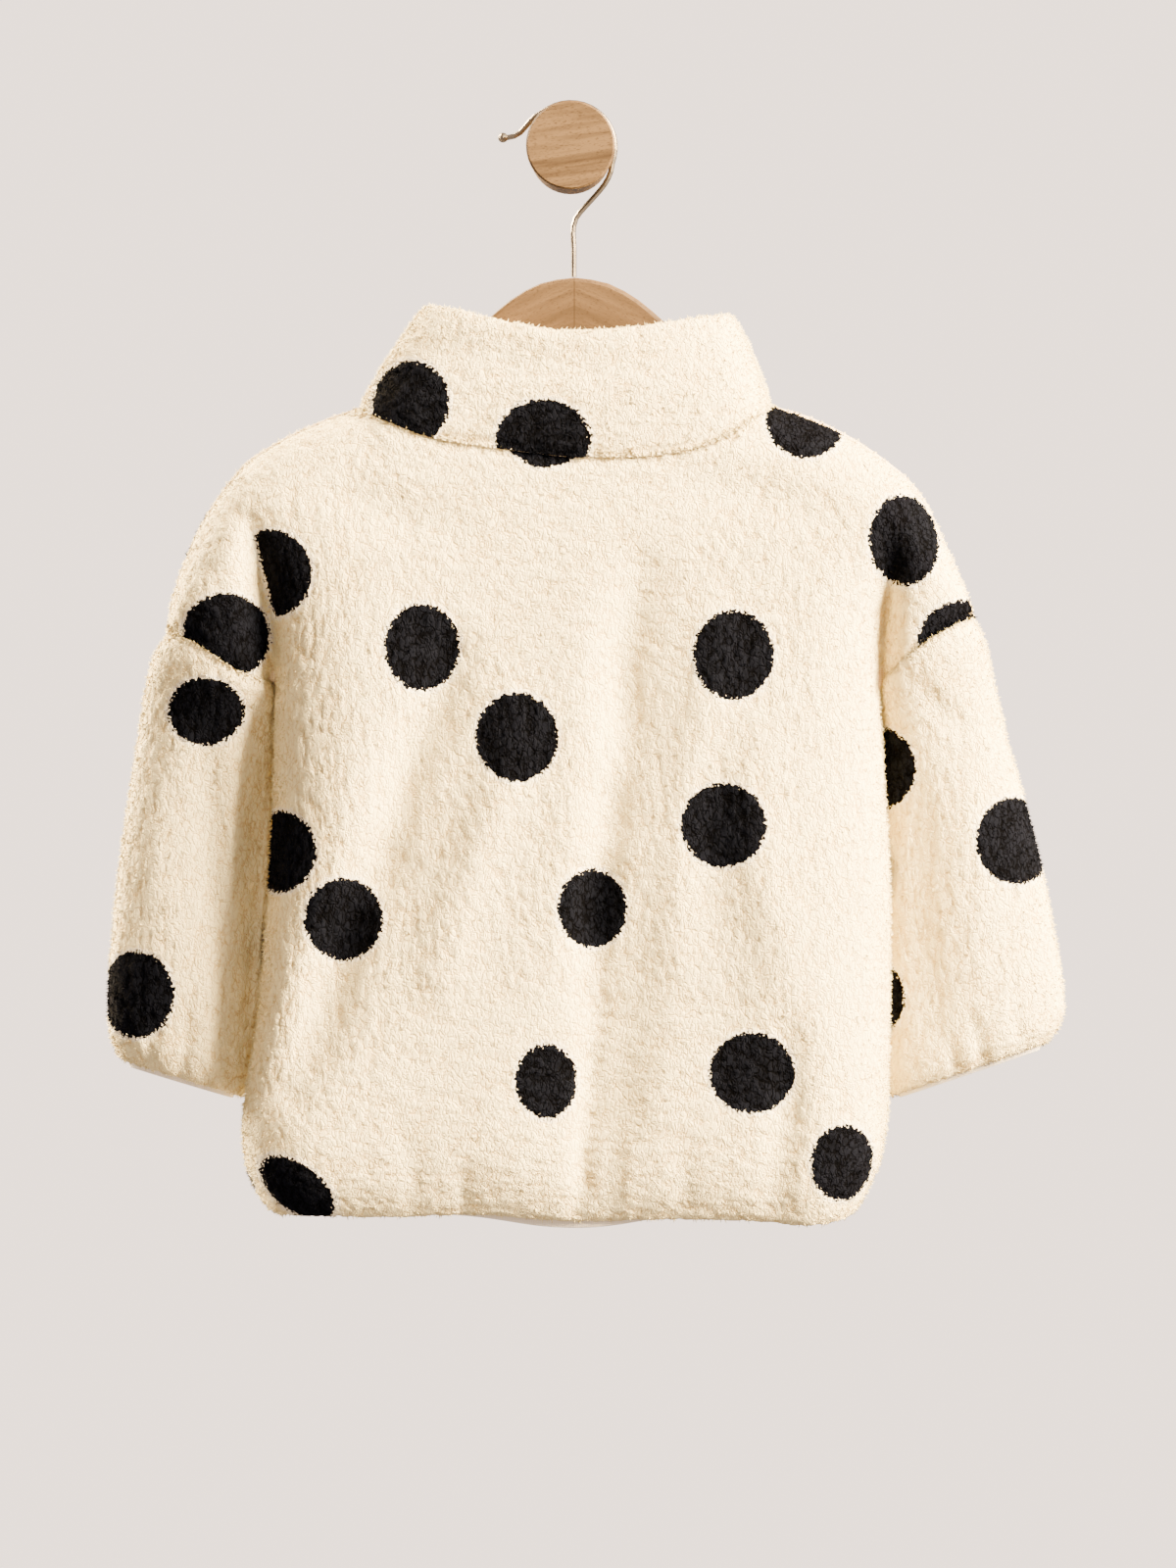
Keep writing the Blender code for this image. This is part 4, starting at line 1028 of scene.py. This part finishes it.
    def divide_outer(self, mesh: bmesh.types.BMesh) -> None:
        """Cuts the edges of the pile side so that none is much longer than edge_mm.

        Args:
            mesh: the once subdivided piece.
        """
        limit = self.edge_mm * MM
        groups: dict[int, list[bmesh.types.BMEdge]] = {}
        for edge in filter(on_pile, mesh.edges):
            cuts = int(round(edge.calc_length() / limit)) - 1
            if cuts > 0:
                groups.setdefault(min(cuts, self.most_cuts), []).append(edge)
        for cuts in sorted(groups):
            alive = [e for e in groups[cuts] if e.is_valid]
            bmesh.ops.subdivide_edges(mesh, edges=alive, cuts=cuts, use_grid_fill=True)
        bmesh.ops.triangulate(mesh, faces=[f for f in mesh.faces if len(f.verts) > 4])
        long_edges = [
            e for e in mesh.edges if e.calc_length() > self.long_edge * limit and on_pile(e)
        ]
        bmesh.ops.subdivide_edges(mesh, edges=long_edges, cuts=1)
        bmesh.ops.triangulate(mesh, faces=[f for f in mesh.faces if len(f.verts) > 4])

    def snap(self, mesh: bmesh.types.BMesh, form: BVHTree) -> None:
        """Moves the pile side's points to the smooth form.

        Args:
            mesh: the divided piece.
            form: the surface of the smooth form.
        """
        for vert in mesh.verts:
            near, _, _, distance = form.find_nearest(vert.co)
            if near is not None and distance < self.snap_mm * MM:
                vert.co = near
        mesh.normal_update()

    def dress(self, mesh: bmesh.types.BMesh, seam_points: list[Vector]) -> np.ndarray:
        """Gives the outer side its creases, seam dips, clumped pile and dots.

        Args:
            mesh: the divided piece.
            seam_points: points along its seams.

        Returns:
            Each point's distance from a seam, in mm.
        """
        dot_layer = mesh.verts.layers.float.new("dot")
        pile_layer = mesh.verts.layers.float.new("pile")
        verts = list(mesh.verts)
        points = np.array([v.co for v in verts])
        normals = np.array([v.normal for v in verts])
        outer = np.array([on_pile(v) for v in verts])
        seam = search_tree(seam_points)
        distance = np.array([seam.find(p)[2] for p in points]) / MM
        dip = self.seam_dip_mm * np.exp(-((distance / self.seam_dip_width_mm) ** 2))
        height = self.curls.height(points, self.seed)
        offset = (height - self.mean_height) * self.pile_mm - dip
        moved = points + normals * (offset * outer * MM)[:, None]
        moved[:, 1] += sum(c.push(points / MM, self.inside_y) for c in self.creases) * MM
        for nudge in self.nudges:
            moved[:, 0] += nudge.push(points / MM) * MM
        self.close_seams(moved, points, distance)
        # Beside a seam the print goes over the cut edge, whichever way that looks.
        facing = normals * (distance > self.seam_dip_width_mm)[:, None]
        surface = surface_of([self.node])
        dots = np.full(len(points), self.no_dot_mm)
        for dot in self.dots:
            dots = np.minimum(dots, dot.distance(surface, points, facing))
        # The pile's height is kept on each point, and the material paints shade in the cracks by
        # it.
        for index, vert in enumerate(verts):
            vert.co = Vector(moved[index])
            vert[dot_layer] = float(dots[index])
            vert[pile_layer] = float(height[index]) if outer[index] else self.cut_edge_height
        return distance

    def close_seams(self, moved: np.ndarray, points: np.ndarray, distance: np.ndarray) -> None:
        """Brings the pile on both sides of a seam together, just past the middle of its gap.

        Args:
            moved: the places to change.
            points: the places on the smooth form.
            distance: how far each is from a seam, in mm.
        """
        others = surface_of([n for n in FLEECE_NODES if n != self.node])
        for index in np.nonzero(distance < self.closing_mm)[0]:
            near, _, _, far = others.find_nearest(Vector(points[index]))
            if near is None or not self.least_gap_mm * MM <= far <= self.widest_gap_mm * MM:
                continue
            past = (far / MM - self.whole_gap_mm) / self.fading_gap_mm
            share = 1 - float(smoothstep(np.array(past)))
            step = (near - Vector(points[index])).normalized()
            moved[index] += np.array(step * share * (far / 2 + self.overlap_mm * MM))

    def add_tufts(
        self, mesh: bmesh.types.BMesh, seam_points: list[Vector], seam_far: np.ndarray
    ) -> None:
        """Adds small closed spikes of pile, most of them along seams and edge-on cloth.

        Args:
            mesh: the dressed piece.
            seam_points: points along its seams, over which the pile leans.
            seam_far: each point's distance from a seam, in mm.
        """
        seams = search_tree(seam_points)
        random = np.random.default_rng(self.seed)
        faces = [f for f in mesh.faces if f.material_index == ClothSide.PILE.value]
        areas = np.array([f.calc_area() for f in faces])
        turn = 1 - np.abs(np.array([f.normal.y for f in faces]))
        mesh.verts.index_update()
        far = np.array([seam_far[f.verts[0].index] for f in faces])
        at_seam = self.seam_tufts * np.exp(-((far / self.seam_tufts_mm) ** 2))
        weights = areas * (self.plain_tufts + self.side_tufts * turn**2 + at_seam)
        picked = random.choice(len(faces), self.tufts, p=weights / weights.sum())
        dot_layer = mesh.verts.layers.float["dot"]
        # Small batches, because an operator takes longer in a large mesh.
        batches: list[bpy.types.Mesh] = []
        for start in range(0, self.tufts, TUFTS_AT_ONCE):
            batch = bmesh.new()
            for name in ("dot", "pile"):
                batch.verts.layers.float.new(name)
            for index in picked[start : start + TUFTS_AT_ONCE]:
                corners = faces[index].verts[:3]
                mix = random.dirichlet(np.ones(3))
                root = sum((v.co * w for v, w in zip(corners, mix)), Vector())
                dot = float(sum(v[dot_layer] * w for v, w in zip(corners, mix)))
                over, _, away = seams.find(root)
                lean = (over - root) / away if away < self.seam_dip_width_mm * MM else Vector()
                points_to = faces[index].normal + lean * self.seam_lean
                self.tuft.add(batch, root, points_to, dot, random)
            data = bpy.data.meshes.new("tufts")
            batch.to_mesh(data)
            batch.free()
            batches.append(data)
        for data in batches:
            mesh.from_mesh(data)
            bpy.data.meshes.remove(data)


FRONT = Facing.FRONT
BACK_PANEL = FleecePiece(
    node="back_panel",
    dots=(
        Dot(-12.5, -149.5, 20.0, 15.5),
        Dot(120.0, -141.0, 20.5, 20.0),
        Dot(171.0, -201.5, 18.5, 23.5),
        Dot(199.0, -253.5, 23.0, 22.0),
        Dot(-153.0, -219.0, 21.5, 22.5, fold=(-163.5, -190.0, -151.0, -244.0)),
        Dot(-176.0, -251.0, 23.0, 22.0),
        Dot(-149.5, -361.0, 21.0, 21.0),
        Dot(-115.7, -395.5, 20.2, 21.0),
        Dot(-75.7, -256.7, 19.3, 22.2),
        Dot(-27.2, -302.7, 21.2, 22.8),
        Dot(83.2, -260.7, 20.7, 22.8),
        Dot(78.2, -347.5, 21.8, 21.5),
        Dot(11.2, -390.0, 17.7, 20.0),
        Dot(-12.2, -478.0, 15.8, 19.0),
        Dot(92.7, -473.7, 21.8, 20.7),
        Dot(139.5, -520.2, 17.0, 19.8),
        Dot(-139.5, -533.0, 22.5, 12.5, slope_deg=-38.0),
        Dot(-168.0, -531.0, 6.0, 6.0),
    ),
    creases=(
        Crease(34.0, -220.0, 20.0, -340.0, 13.0, 8.1),
        Crease(20.0, -335.0, 9.0, -440.0, 11.0, 8.5),
        Crease(14.0, -440.0, 8.0, -500.0, 7.0, 4.8),
        Crease(9.0, -496.0, 4.5, -544.0, 5.0, 5.0),
        Crease(70.0, -250.0, 52.0, -410.0, 14.0, -4.9),
        Crease(-62.0, -262.0, -98.0, -370.0, 13.0, 8.0),
        Crease(-98.0, -366.0, -142.0, -480.0, 14.0, 10.0),
        Crease(-26.0, -290.0, -66.0, -420.0, 15.0, -5.9),
        Crease(31.0, -385.0, 21.0, -549.0, 15.0, 4.5),
        Crease(-54.0, -522.0, -55.0, -549.0, 3.0, 2.0),
        Crease(-84.0, -500.0, -78.0, -549.0, 6.0, 1.4),
        Crease(30.0, -505.0, 30.0, -549.0, 5.0, -1.4),
        Crease(60.0, -512.0, 56.0, -549.0, 6.0, 1.6),
        Crease(112.0, -450.0, 106.0, -549.0, 9.0, 3.8),
        Crease(-164.0, -190.0, -156.0, -274.0, 5.5, 4.0),
        Crease(-176.0, -200.0, -168.0, -262.0, 7.0, -1.2),
        Crease(166.0, -214.0, 161.0, -276.0, 5.0, 3.0),
        Crease(-118.0, -180.0, -60.0, -196.0, 12.0, 2.6),
        Crease(60.0, -172.0, 130.0, -186.0, 12.0, 2.6),
        Crease(90.0, -300.0, 108.0, -440.0, 18.0, -3.8),
    ),
    flat=(0.44, 0.43),
    area=0.155,
    edge_mm=1.45,
    tufts=13000,
    seed=11,
)
FRONT_PANEL = FleecePiece(
    node="front_panel",
    dots=(
        Dot(-84.0, -214.0, 21.0, 22.0, FRONT),
        Dot(62.0, -226.0, 21.0, 21.5, FRONT),
        Dot(-140.0, -226.0, 21.0, 22.0, FRONT),
        Dot(128.0, -180.0, 21.0, 21.0, FRONT),
        Dot(176.0, -232.0, 21.0, 22.0, FRONT),
        Dot(-182.0, -206.0, 20.0, 21.0, FRONT),
        Dot(-34.0, -262.0, 20.5, 21.5, FRONT),
        Dot(116.0, -286.0, 21.5, 21.0, FRONT),
        Dot(-112.0, -300.0, 20.5, 22.0, FRONT),
        Dot(30.0, -324.0, 20.0, 21.5, FRONT),
        Dot(-56.0, -358.0, 21.5, 21.0, FRONT),
        Dot(146.0, -372.0, 20.0, 21.0, FRONT),
        Dot(84.0, -398.0, 21.5, 21.5, FRONT),
        Dot(-142.0, -412.0, 20.0, 21.5, FRONT),
        Dot(-10.0, -430.0, 20.5, 20.5, FRONT),
        Dot(-88.0, -462.0, 21.5, 21.0, FRONT),
        Dot(42.0, -494.0, 20.0, 21.5, FRONT),
        Dot(126.0, -480.0, 20.5, 21.0, FRONT),
        Dot(-34.0, -528.0, 20.0, 20.0, FRONT),
        Dot(-136.0, -524.0, 20.0, 20.5, FRONT),
        Dot(94.0, -546.0, 20.0, 18.0, FRONT),
    ),
    creases=(
        Crease(-40.0, -330.0, -96.0, -450.0, 12.0, 5.4, FRONT),
        Crease(46.0, -300.0, 72.0, -430.0, 12.0, 5.4, FRONT),
        Crease(4.0, -440.0, -8.0, -545.0, 7.0, 3.0, FRONT),
        Crease(-70.0, -505.0, -74.0, -547.0, 6.0, 1.8, FRONT),
        Crease(78.0, -508.0, 84.0, -547.0, 6.0, 1.8, FRONT),
        Crease(-176.0, -200.0, -160.0, -262.0, 6.0, 1.8, FRONT),
        Crease(180.0, -205.0, 166.0, -262.0, 6.0, 1.8, FRONT),
    ),
    flat=(0.44, 0.42),
    area=0.150,
    edge_mm=1.9,
    tufts=8000,
    seed=23,
)
SLEEVE_LEFT = FleecePiece(
    node="sleeve_left",
    dots=(
        Dot(-187.0, -289.5, 19.3, 17.5),
        Dot(-223.0, -434.5, 20.0, 22.3),
        Dot(-178.0, -368.0, 9.0, 20.0, FRONT),
        Dot(-206.0, -334.0, 20.0, 21.0, FRONT),
        Dot(-190.0, -424.0, 20.0, 21.0, FRONT),
        Dot(-216.0, -380.0, 18.0, 21.0, FRONT),
    ),
    creases=(
        Crease(-186.0, -300.0, -176.0, -478.0, 8.0, 3.9),
        Crease(-163.0, -292.0, -162.0, -478.0, 9.0, 7.0),
        Crease(-196.0, -448.0, -200.0, -480.0, 3.5, 2.4),
        Crease(-214.0, -446.0, -217.0, -476.0, 4.0, 1.8),
        Crease(-226.0, -452.0, -226.0, -476.0, 4.0, 1.2),
        Crease(-176.0, -284.0, -204.0, -296.0, 5.0, 1.6),
        Crease(-212.0, -320.0, -208.0, -420.0, 12.0, -1.7),
        Crease(-184.0, -330.0, -188.0, -470.0, 9.0, 3.4, FRONT),
        Crease(-205.0, -450.0, -208.0, -478.0, 4.0, 1.8, FRONT),
    ),
    flat=(0.17, 0.24),
    area=0.036,
    edge_mm=1.5,
    tufts=6500,
    inside_y=-47.0,
    nudges=(Nudge(-153.0, -284.0, 14.0, 3.2), Nudge(-153.0, -304.0, 12.0, 1.6)),
    seed=37,
)
SLEEVE_RIGHT = FleecePiece(
    node="sleeve_right",
    dots=(
        Dot(155.5, -318.5, 22.0, 22.0),
        Dot(229.0, -355.5, 21.5, 22.5),
        Dot(149.5, -436.5, 22.0, 22.0),
        Dot(201.0, -306.0, 20.0, 21.0, FRONT),
        Dot(190.0, -392.0, 20.0, 21.0, FRONT),
        Dot(228.0, -438.0, 20.0, 21.0, FRONT),
    ),
    creases=(
        Crease(206.0, -446.0, 214.0, -476.0, 3.5, 2.4),
        Crease(194.0, -460.0, 201.0, -482.0, 3.5, 2.0),
        Crease(228.0, -440.0, 232.0, -464.0, 4.0, 1.4),
        Crease(176.0, -276.0, 204.0, -300.0, 6.0, 1.8),
        Crease(176.0, -330.0, 184.0, -450.0, 10.0, 3.1),
        Crease(206.0, -330.0, 214.0, -440.0, 14.0, -2.0),
        Crease(196.0, -330.0, 204.0, -466.0, 9.0, 2.8, FRONT),
        Crease(222.0, -436.0, 226.0, -464.0, 4.0, 1.6, FRONT),
    ),
    flat=(0.18, 0.25),
    area=0.037,
    edge_mm=1.5,
    tufts=6500,
    inside_y=-47.0,
    nudges=(Nudge(158.0, -280.0, 13.0, -2.6),),
    seed=41,
)
COLLAR = FleecePiece(
    node="collar",
    dots=(
        Dot(-82.0, -131.5, 20.3, 22.0),
        Dot(-14.0, -150.5, 24.5, 20.5),
        Dot(-66.0, -136.0, 20.0, 21.0, FRONT),
        Dot(44.0, -158.0, 20.5, 21.0, FRONT),
        Dot(66.0, -116.0, 19.0, 19.0, FRONT),
    ),
    creases=(
        Crease(-62.0, -108.0, 30.0, -116.0, 9.0, 1.4),
        Crease(-96.0, -120.0, -60.0, -100.0, 7.0, 1.4),
        Crease(-10.0, -126.0, 60.0, -120.0, 10.0, -1.2),
        Crease(-60.0, -130.0, 40.0, -146.0, 8.0, 1.4, FRONT),
    ),
    flat=(0.42, 0.075),
    area=0.027,
    edge_mm=1.4,
    tufts=9000,
    seed=53,
)


# ---------------------------------------------------------------- bindings and zip
@dataclass
class Binding:
    """A smooth stretch binding, folded inside a hem or cuff."""

    node: str
    flat: tuple[float, float]
    area: float

    def build(self, jersey: bpy.types.Material) -> bpy.types.Object:
        """Builds the band from its CAD node, with rounded edges.

        Args:
            jersey: its material.

        Returns:
            The finished band, which replaces its CAD node.
        """
        base = cad_copy(self.node)
        piece = finished(f"jersey_{self.node}", subdivided(base, 2), (jersey,))
        base.free()
        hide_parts(self.node)
        return piece


@dataclass
class ZipFastener:
    """The closed half zip: two tapes, a coil of teeth, a bottom stop and the slider."""

    top_mm: float = -121.0
    bottom_mm: float = -291.0
    pitch_mm: float = 1.5
    tooth_mm: tuple[float, float, float] = (3.0, 1.3, 0.8)
    # How far a tooth's middle is from the zip's, where the tape's front is felt for it,
    # from how far in front, and how high it stands on the tape, in its own depths.
    tooth_x_mm: float = 0.6
    felt_x_mm: float = 1.0
    feeler_y_mm: float = 50.0
    tooth_rise: float = 0.35
    stop_mm: tuple[float, float, float] = (5.6, 1.8, 2.6)
    stop_rise_mm: float = 0.5
    bevel_share: float = 0.2
    tape_nodes: tuple[str, str] = ("zip_tape_left", "zip_tape_right")
    tape_flat: tuple[float, float] = (0.0135, 0.178)

    def build(self, tape: bpy.types.Material, metal: bpy.types.Material) -> None:
        """Builds the tapes, the teeth and the stop, and dresses the slider and the pull.

        Args:
            tape: the tapes' material.
            metal: the material of all the rest.
        """
        for node in self.tape_nodes:
            base = cad_copy(node)
            piece = finished(f"woven_{node}", subdivided(base, 1), (tape,))
            base.free()
            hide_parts(node)
            LOG.info("built %s", piece.name)
        surface = surface_of(list(self.tape_nodes))
        for name, mesh in (
            ("zip_teeth", self.teeth(surface)), ("zip_bottom_stop", self.stop(surface))
        ):
            LOG.info("built %s", finished(name, mesh, (metal,)).name)
        for node in ("zip_slider", "zip_pull"):
            dress_node(node, metal)

    def tape_front(self, surface: BVHTree, x_mm: float, z_mm: float) -> float:
        """Feels for the front of the tapes.

        Args:
            surface: the tapes' surface.
            x_mm: the x of the place.
            z_mm: the z of the place.

        Returns:
            The y of the tapes' front there, in metres.
        """
        start = Vector((x_mm * MM, self.feeler_y_mm * MM, z_mm * MM))
        hit = surface.ray_cast(start, Vector((0, -1, 0)))[0]
        return hit.y if hit else SEAM_PLANE_Y * MM

    def add_block(
        self, mesh: bmesh.types.BMesh, centre: Vector, size: tuple[float, float, float]
    ) -> None:
        """Adds a small block with bevelled edges.

        Args:
            mesh: the mesh that it goes in.
            centre: its middle, in metres.
            size: its size in mm.
        """
        made = bmesh.ops.create_cube(mesh, size=1.0)["verts"]
        bmesh.ops.scale(mesh, vec=Vector(size) * MM, verts=made)
        bmesh.ops.translate(mesh, vec=centre, verts=made)
        edges = list({e for v in made for e in v.link_edges})
        bmesh.ops.bevel(
            mesh,
            geom=edges,
            offset=self.bevel_share * min(size) * MM,
            segments=1,
            profile=0.5,
            affect="EDGES",
            material=-1,
        )

    def teeth(self, surface: BVHTree) -> bmesh.types.BMesh:
        """Makes the coil, as teeth that reach past the middle from each side in turn.

        Args:
            surface: the tapes' surface.

        Returns:
            The teeth.
        """
        mesh = bmesh.new()
        count = int((self.top_mm - self.bottom_mm) / self.pitch_mm)
        for k in range(count):
            z = self.top_mm - k * self.pitch_mm
            side = 1 if k % 2 else -1
            front = self.tape_front(surface, side * self.felt_x_mm, z)
            y = front + self.tooth_rise * self.tooth_mm[1] * MM
            self.add_block(mesh, Vector((side * self.tooth_x_mm * MM, y, z * MM)), self.tooth_mm)
        return mesh

    def stop(self, surface: BVHTree) -> bmesh.types.BMesh:
        """Makes the stop across the zip's lower end.

        Args:
            surface: the tapes' surface.

        Returns:
            The stop.
        """
        mesh = bmesh.new()
        front = self.tape_front(surface, self.felt_x_mm, self.bottom_mm)
        place = Vector((0.0, front + self.stop_rise_mm * MM, self.bottom_mm * MM))
        self.add_block(mesh, place, self.stop_mm)
        return mesh


# ---------------------------------------------------------------- hanger, hook and peg
@dataclass
class HangerAndPeg:
    """The hard pieces, which keep their CAD shapes and get their own finishes."""

    centre_x_mm: float = 2.0
    board_slope_deg: float = 24.0

    def build(self) -> None:
        """Dresses the hanger, its hook and the wall peg."""
        board = Beech(
            "beech_hanger",
            slope_deg=self.board_slope_deg,
            matched=True,
            centre_x_mm=self.centre_x_mm,
        )
        dress_node("hanger_board", board.material())
        dress_node("wall_peg", Beech("beech_peg", light="#5C4932", dark="#3A2B1B").material())
        dress_node("hanger_hook", SatinNickel("satin_nickel_hook").material())


# ---------------------------------------------------------------- studio
@dataclass(frozen=True)
class SoftLight:
    """A square soft light: where it stands and its side in metres, and its watts."""

    name: str
    place: tuple[float, float, float]
    power: float
    size: float = 2.3
    colour: str = "#FFE3B8"

    def build(self, target: Vector) -> None:
        """Adds the light and turns it to its target.

        Args:
            target: the place that it looks at.
        """
        data = bpy.data.lights.new(f"studio_{self.name}", "AREA")
        data.shape = "SQUARE"
        data.size = self.size
        data.energy = self.power
        data.color = linear(self.colour)[:3]
        lamp = bpy.data.objects.new(f"studio_{self.name}", data)
        bpy.context.scene.collection.objects.link(lamp)
        lamp.location = self.place
        lamp.rotation_euler = (target - lamp.location).to_track_quat("-Z", "Y").to_euler()


@dataclass
class Studio:
    """A pale floor, soft lights, a backdrop and the camera, with sizes in metres."""

    centre: tuple[float, float] = (0.009, -0.3265)
    frame_height: float = 0.8
    distance: float = 6.0
    # The garment's back is this far in front of the frame's own plane.
    garment_depth: float = 0.09
    sensor_mm: float = 36.0
    lights: tuple[SoftLight, ...] = (
        SoftLight("key", (3.2, -1.5, 1.6), 3800.0), SoftLight("rear", (-2.8, 2.0, 1.6), 3000.0)
    )
    floor_z: float = -1.25
    floor_half: float = 2.2
    floor_colour: str = "#857C74"
    backdrop_colour: str = "#FFE9D9"
    backdrop_light: float = 2.9
    room_colour: str = "#FFE6D2"
    room_light: float = 1.0
    dome_radius: float = 14.0

    def build(self) -> None:
        """Builds the floor, the lights, the backdrop's colour and the camera."""
        self.floor()
        self.backdrop()
        for light in self.lights:
            light.build(Vector((self.centre[0], SEAM_PLANE_Y * MM, self.centre[1])))
        self.camera()

    def staged(
        self, name: str, mesh: bmesh.types.BMesh, material: bpy.types.Material
    ) -> bpy.types.Object:
        """Makes scenery of a bmesh, which casts no light on the garment.

        Args:
            name: its name.
            mesh: its bmesh, which is freed.
            material: its material.

        Returns:
            Its object.
        """
        made = as_object(name, mesh, (material,))
        mesh.free()
        made.visible_diffuse = False
        made.visible_glossy = False
        return made

    def floor(self) -> None:
        """Lays a pale floor, well below the garment."""
        mesh = bmesh.new()
        bmesh.ops.create_grid(mesh, x_segments=1, y_segments=1, size=self.floor_half)
        bmesh.ops.translate(mesh, vec=Vector((0.0, 0.0, self.floor_z)), verts=mesh.verts)
        paint = {"Base Color": self.floor_colour, "Roughness": 0.9}
        self.staged("studio_floor", mesh, new_material("painted_floor", paint)[0])

    def backdrop(self) -> None:
        """A pale dome all round, which is only looked at, and the room's soft light."""
        mesh = bmesh.new()
        bmesh.ops.create_icosphere(mesh, subdivisions=4, radius=self.dome_radius)
        bmesh.ops.reverse_faces(mesh, faces=mesh.faces)
        glow = {
            "Base Color": "#000000",
            "Specular IOR Level": 0.0,
            "Emission Color": self.backdrop_colour,
            "Emission Strength": self.backdrop_light,
        }
        dome = self.staged("studio_dome", mesh, new_material("lit_backdrop", glow)[0])
        dome.visible_shadow = False
        world = bpy.data.worlds.new("studio")
        bpy.context.scene.world = world
        world.use_nodes = True
        room = {"Color": self.room_colour, "Strength": self.room_light}
        set_inputs(world.node_tree, world.node_tree.nodes["Background"], room)

    def camera(self) -> None:
        """The camera, straight on to the garment's back, as in the photograph."""
        data = bpy.data.cameras.new("studio_camera")
        data.sensor_width = self.sensor_mm
        data.lens = self.sensor_mm * self.distance / self.frame_height
        data.clip_end = 60.0
        camera = bpy.data.objects.new("studio_camera", data)
        bpy.context.scene.collection.objects.link(camera)
        camera.location = (self.centre[0], -self.distance - self.garment_depth, self.centre[1])
        camera.rotation_euler = (math.radians(90), 0.0, 0.0)
        bpy.context.scene.camera = camera


def main() -> None:
    """Builds the garment, the hanger, the peg and the studio, in order."""
    logging.basicConfig(level=logging.INFO, format="%(name)s: %(message)s")
    pile = TeddyFleece().material()
    backing = Jersey("knitted_backing", "#F2DDB6", "#D5B887").material()
    binding = Jersey(
        "stretch_binding", "#FCF6EA", "#F0E4CE", loop_mm=0.8, rib_mm=0.9, roughness=0.7
    ).material()
    for piece in (BACK_PANEL, FRONT_PANEL, SLEEVE_LEFT, SLEEVE_RIGHT, COLLAR):
        made = piece.build(pile, backing)
        triangles = sum(len(p.vertices) - 2 for p in made.data.polygons)
        LOG.info("built %s with %d triangles", made.name, triangles)
    for band in (
        Binding("hem_binding", flat=(0.60, 0.010), area=0.0041),
        Binding("cuff_binding_left", flat=(0.16, 0.013), area=0.0020),
        Binding("cuff_binding_right", flat=(0.19, 0.013), area=0.0024),
    ):
        LOG.info("built %s", band.build(binding).name)
    metal = SatinNickel("zip_nickel", "#8C857A", "#645E55", roughness=0.26).material()
    ZipFastener().build(ZipTape().material(), metal)
    HangerAndPeg().build()
    Studio().build()


if __name__ == "__main__":
    main()
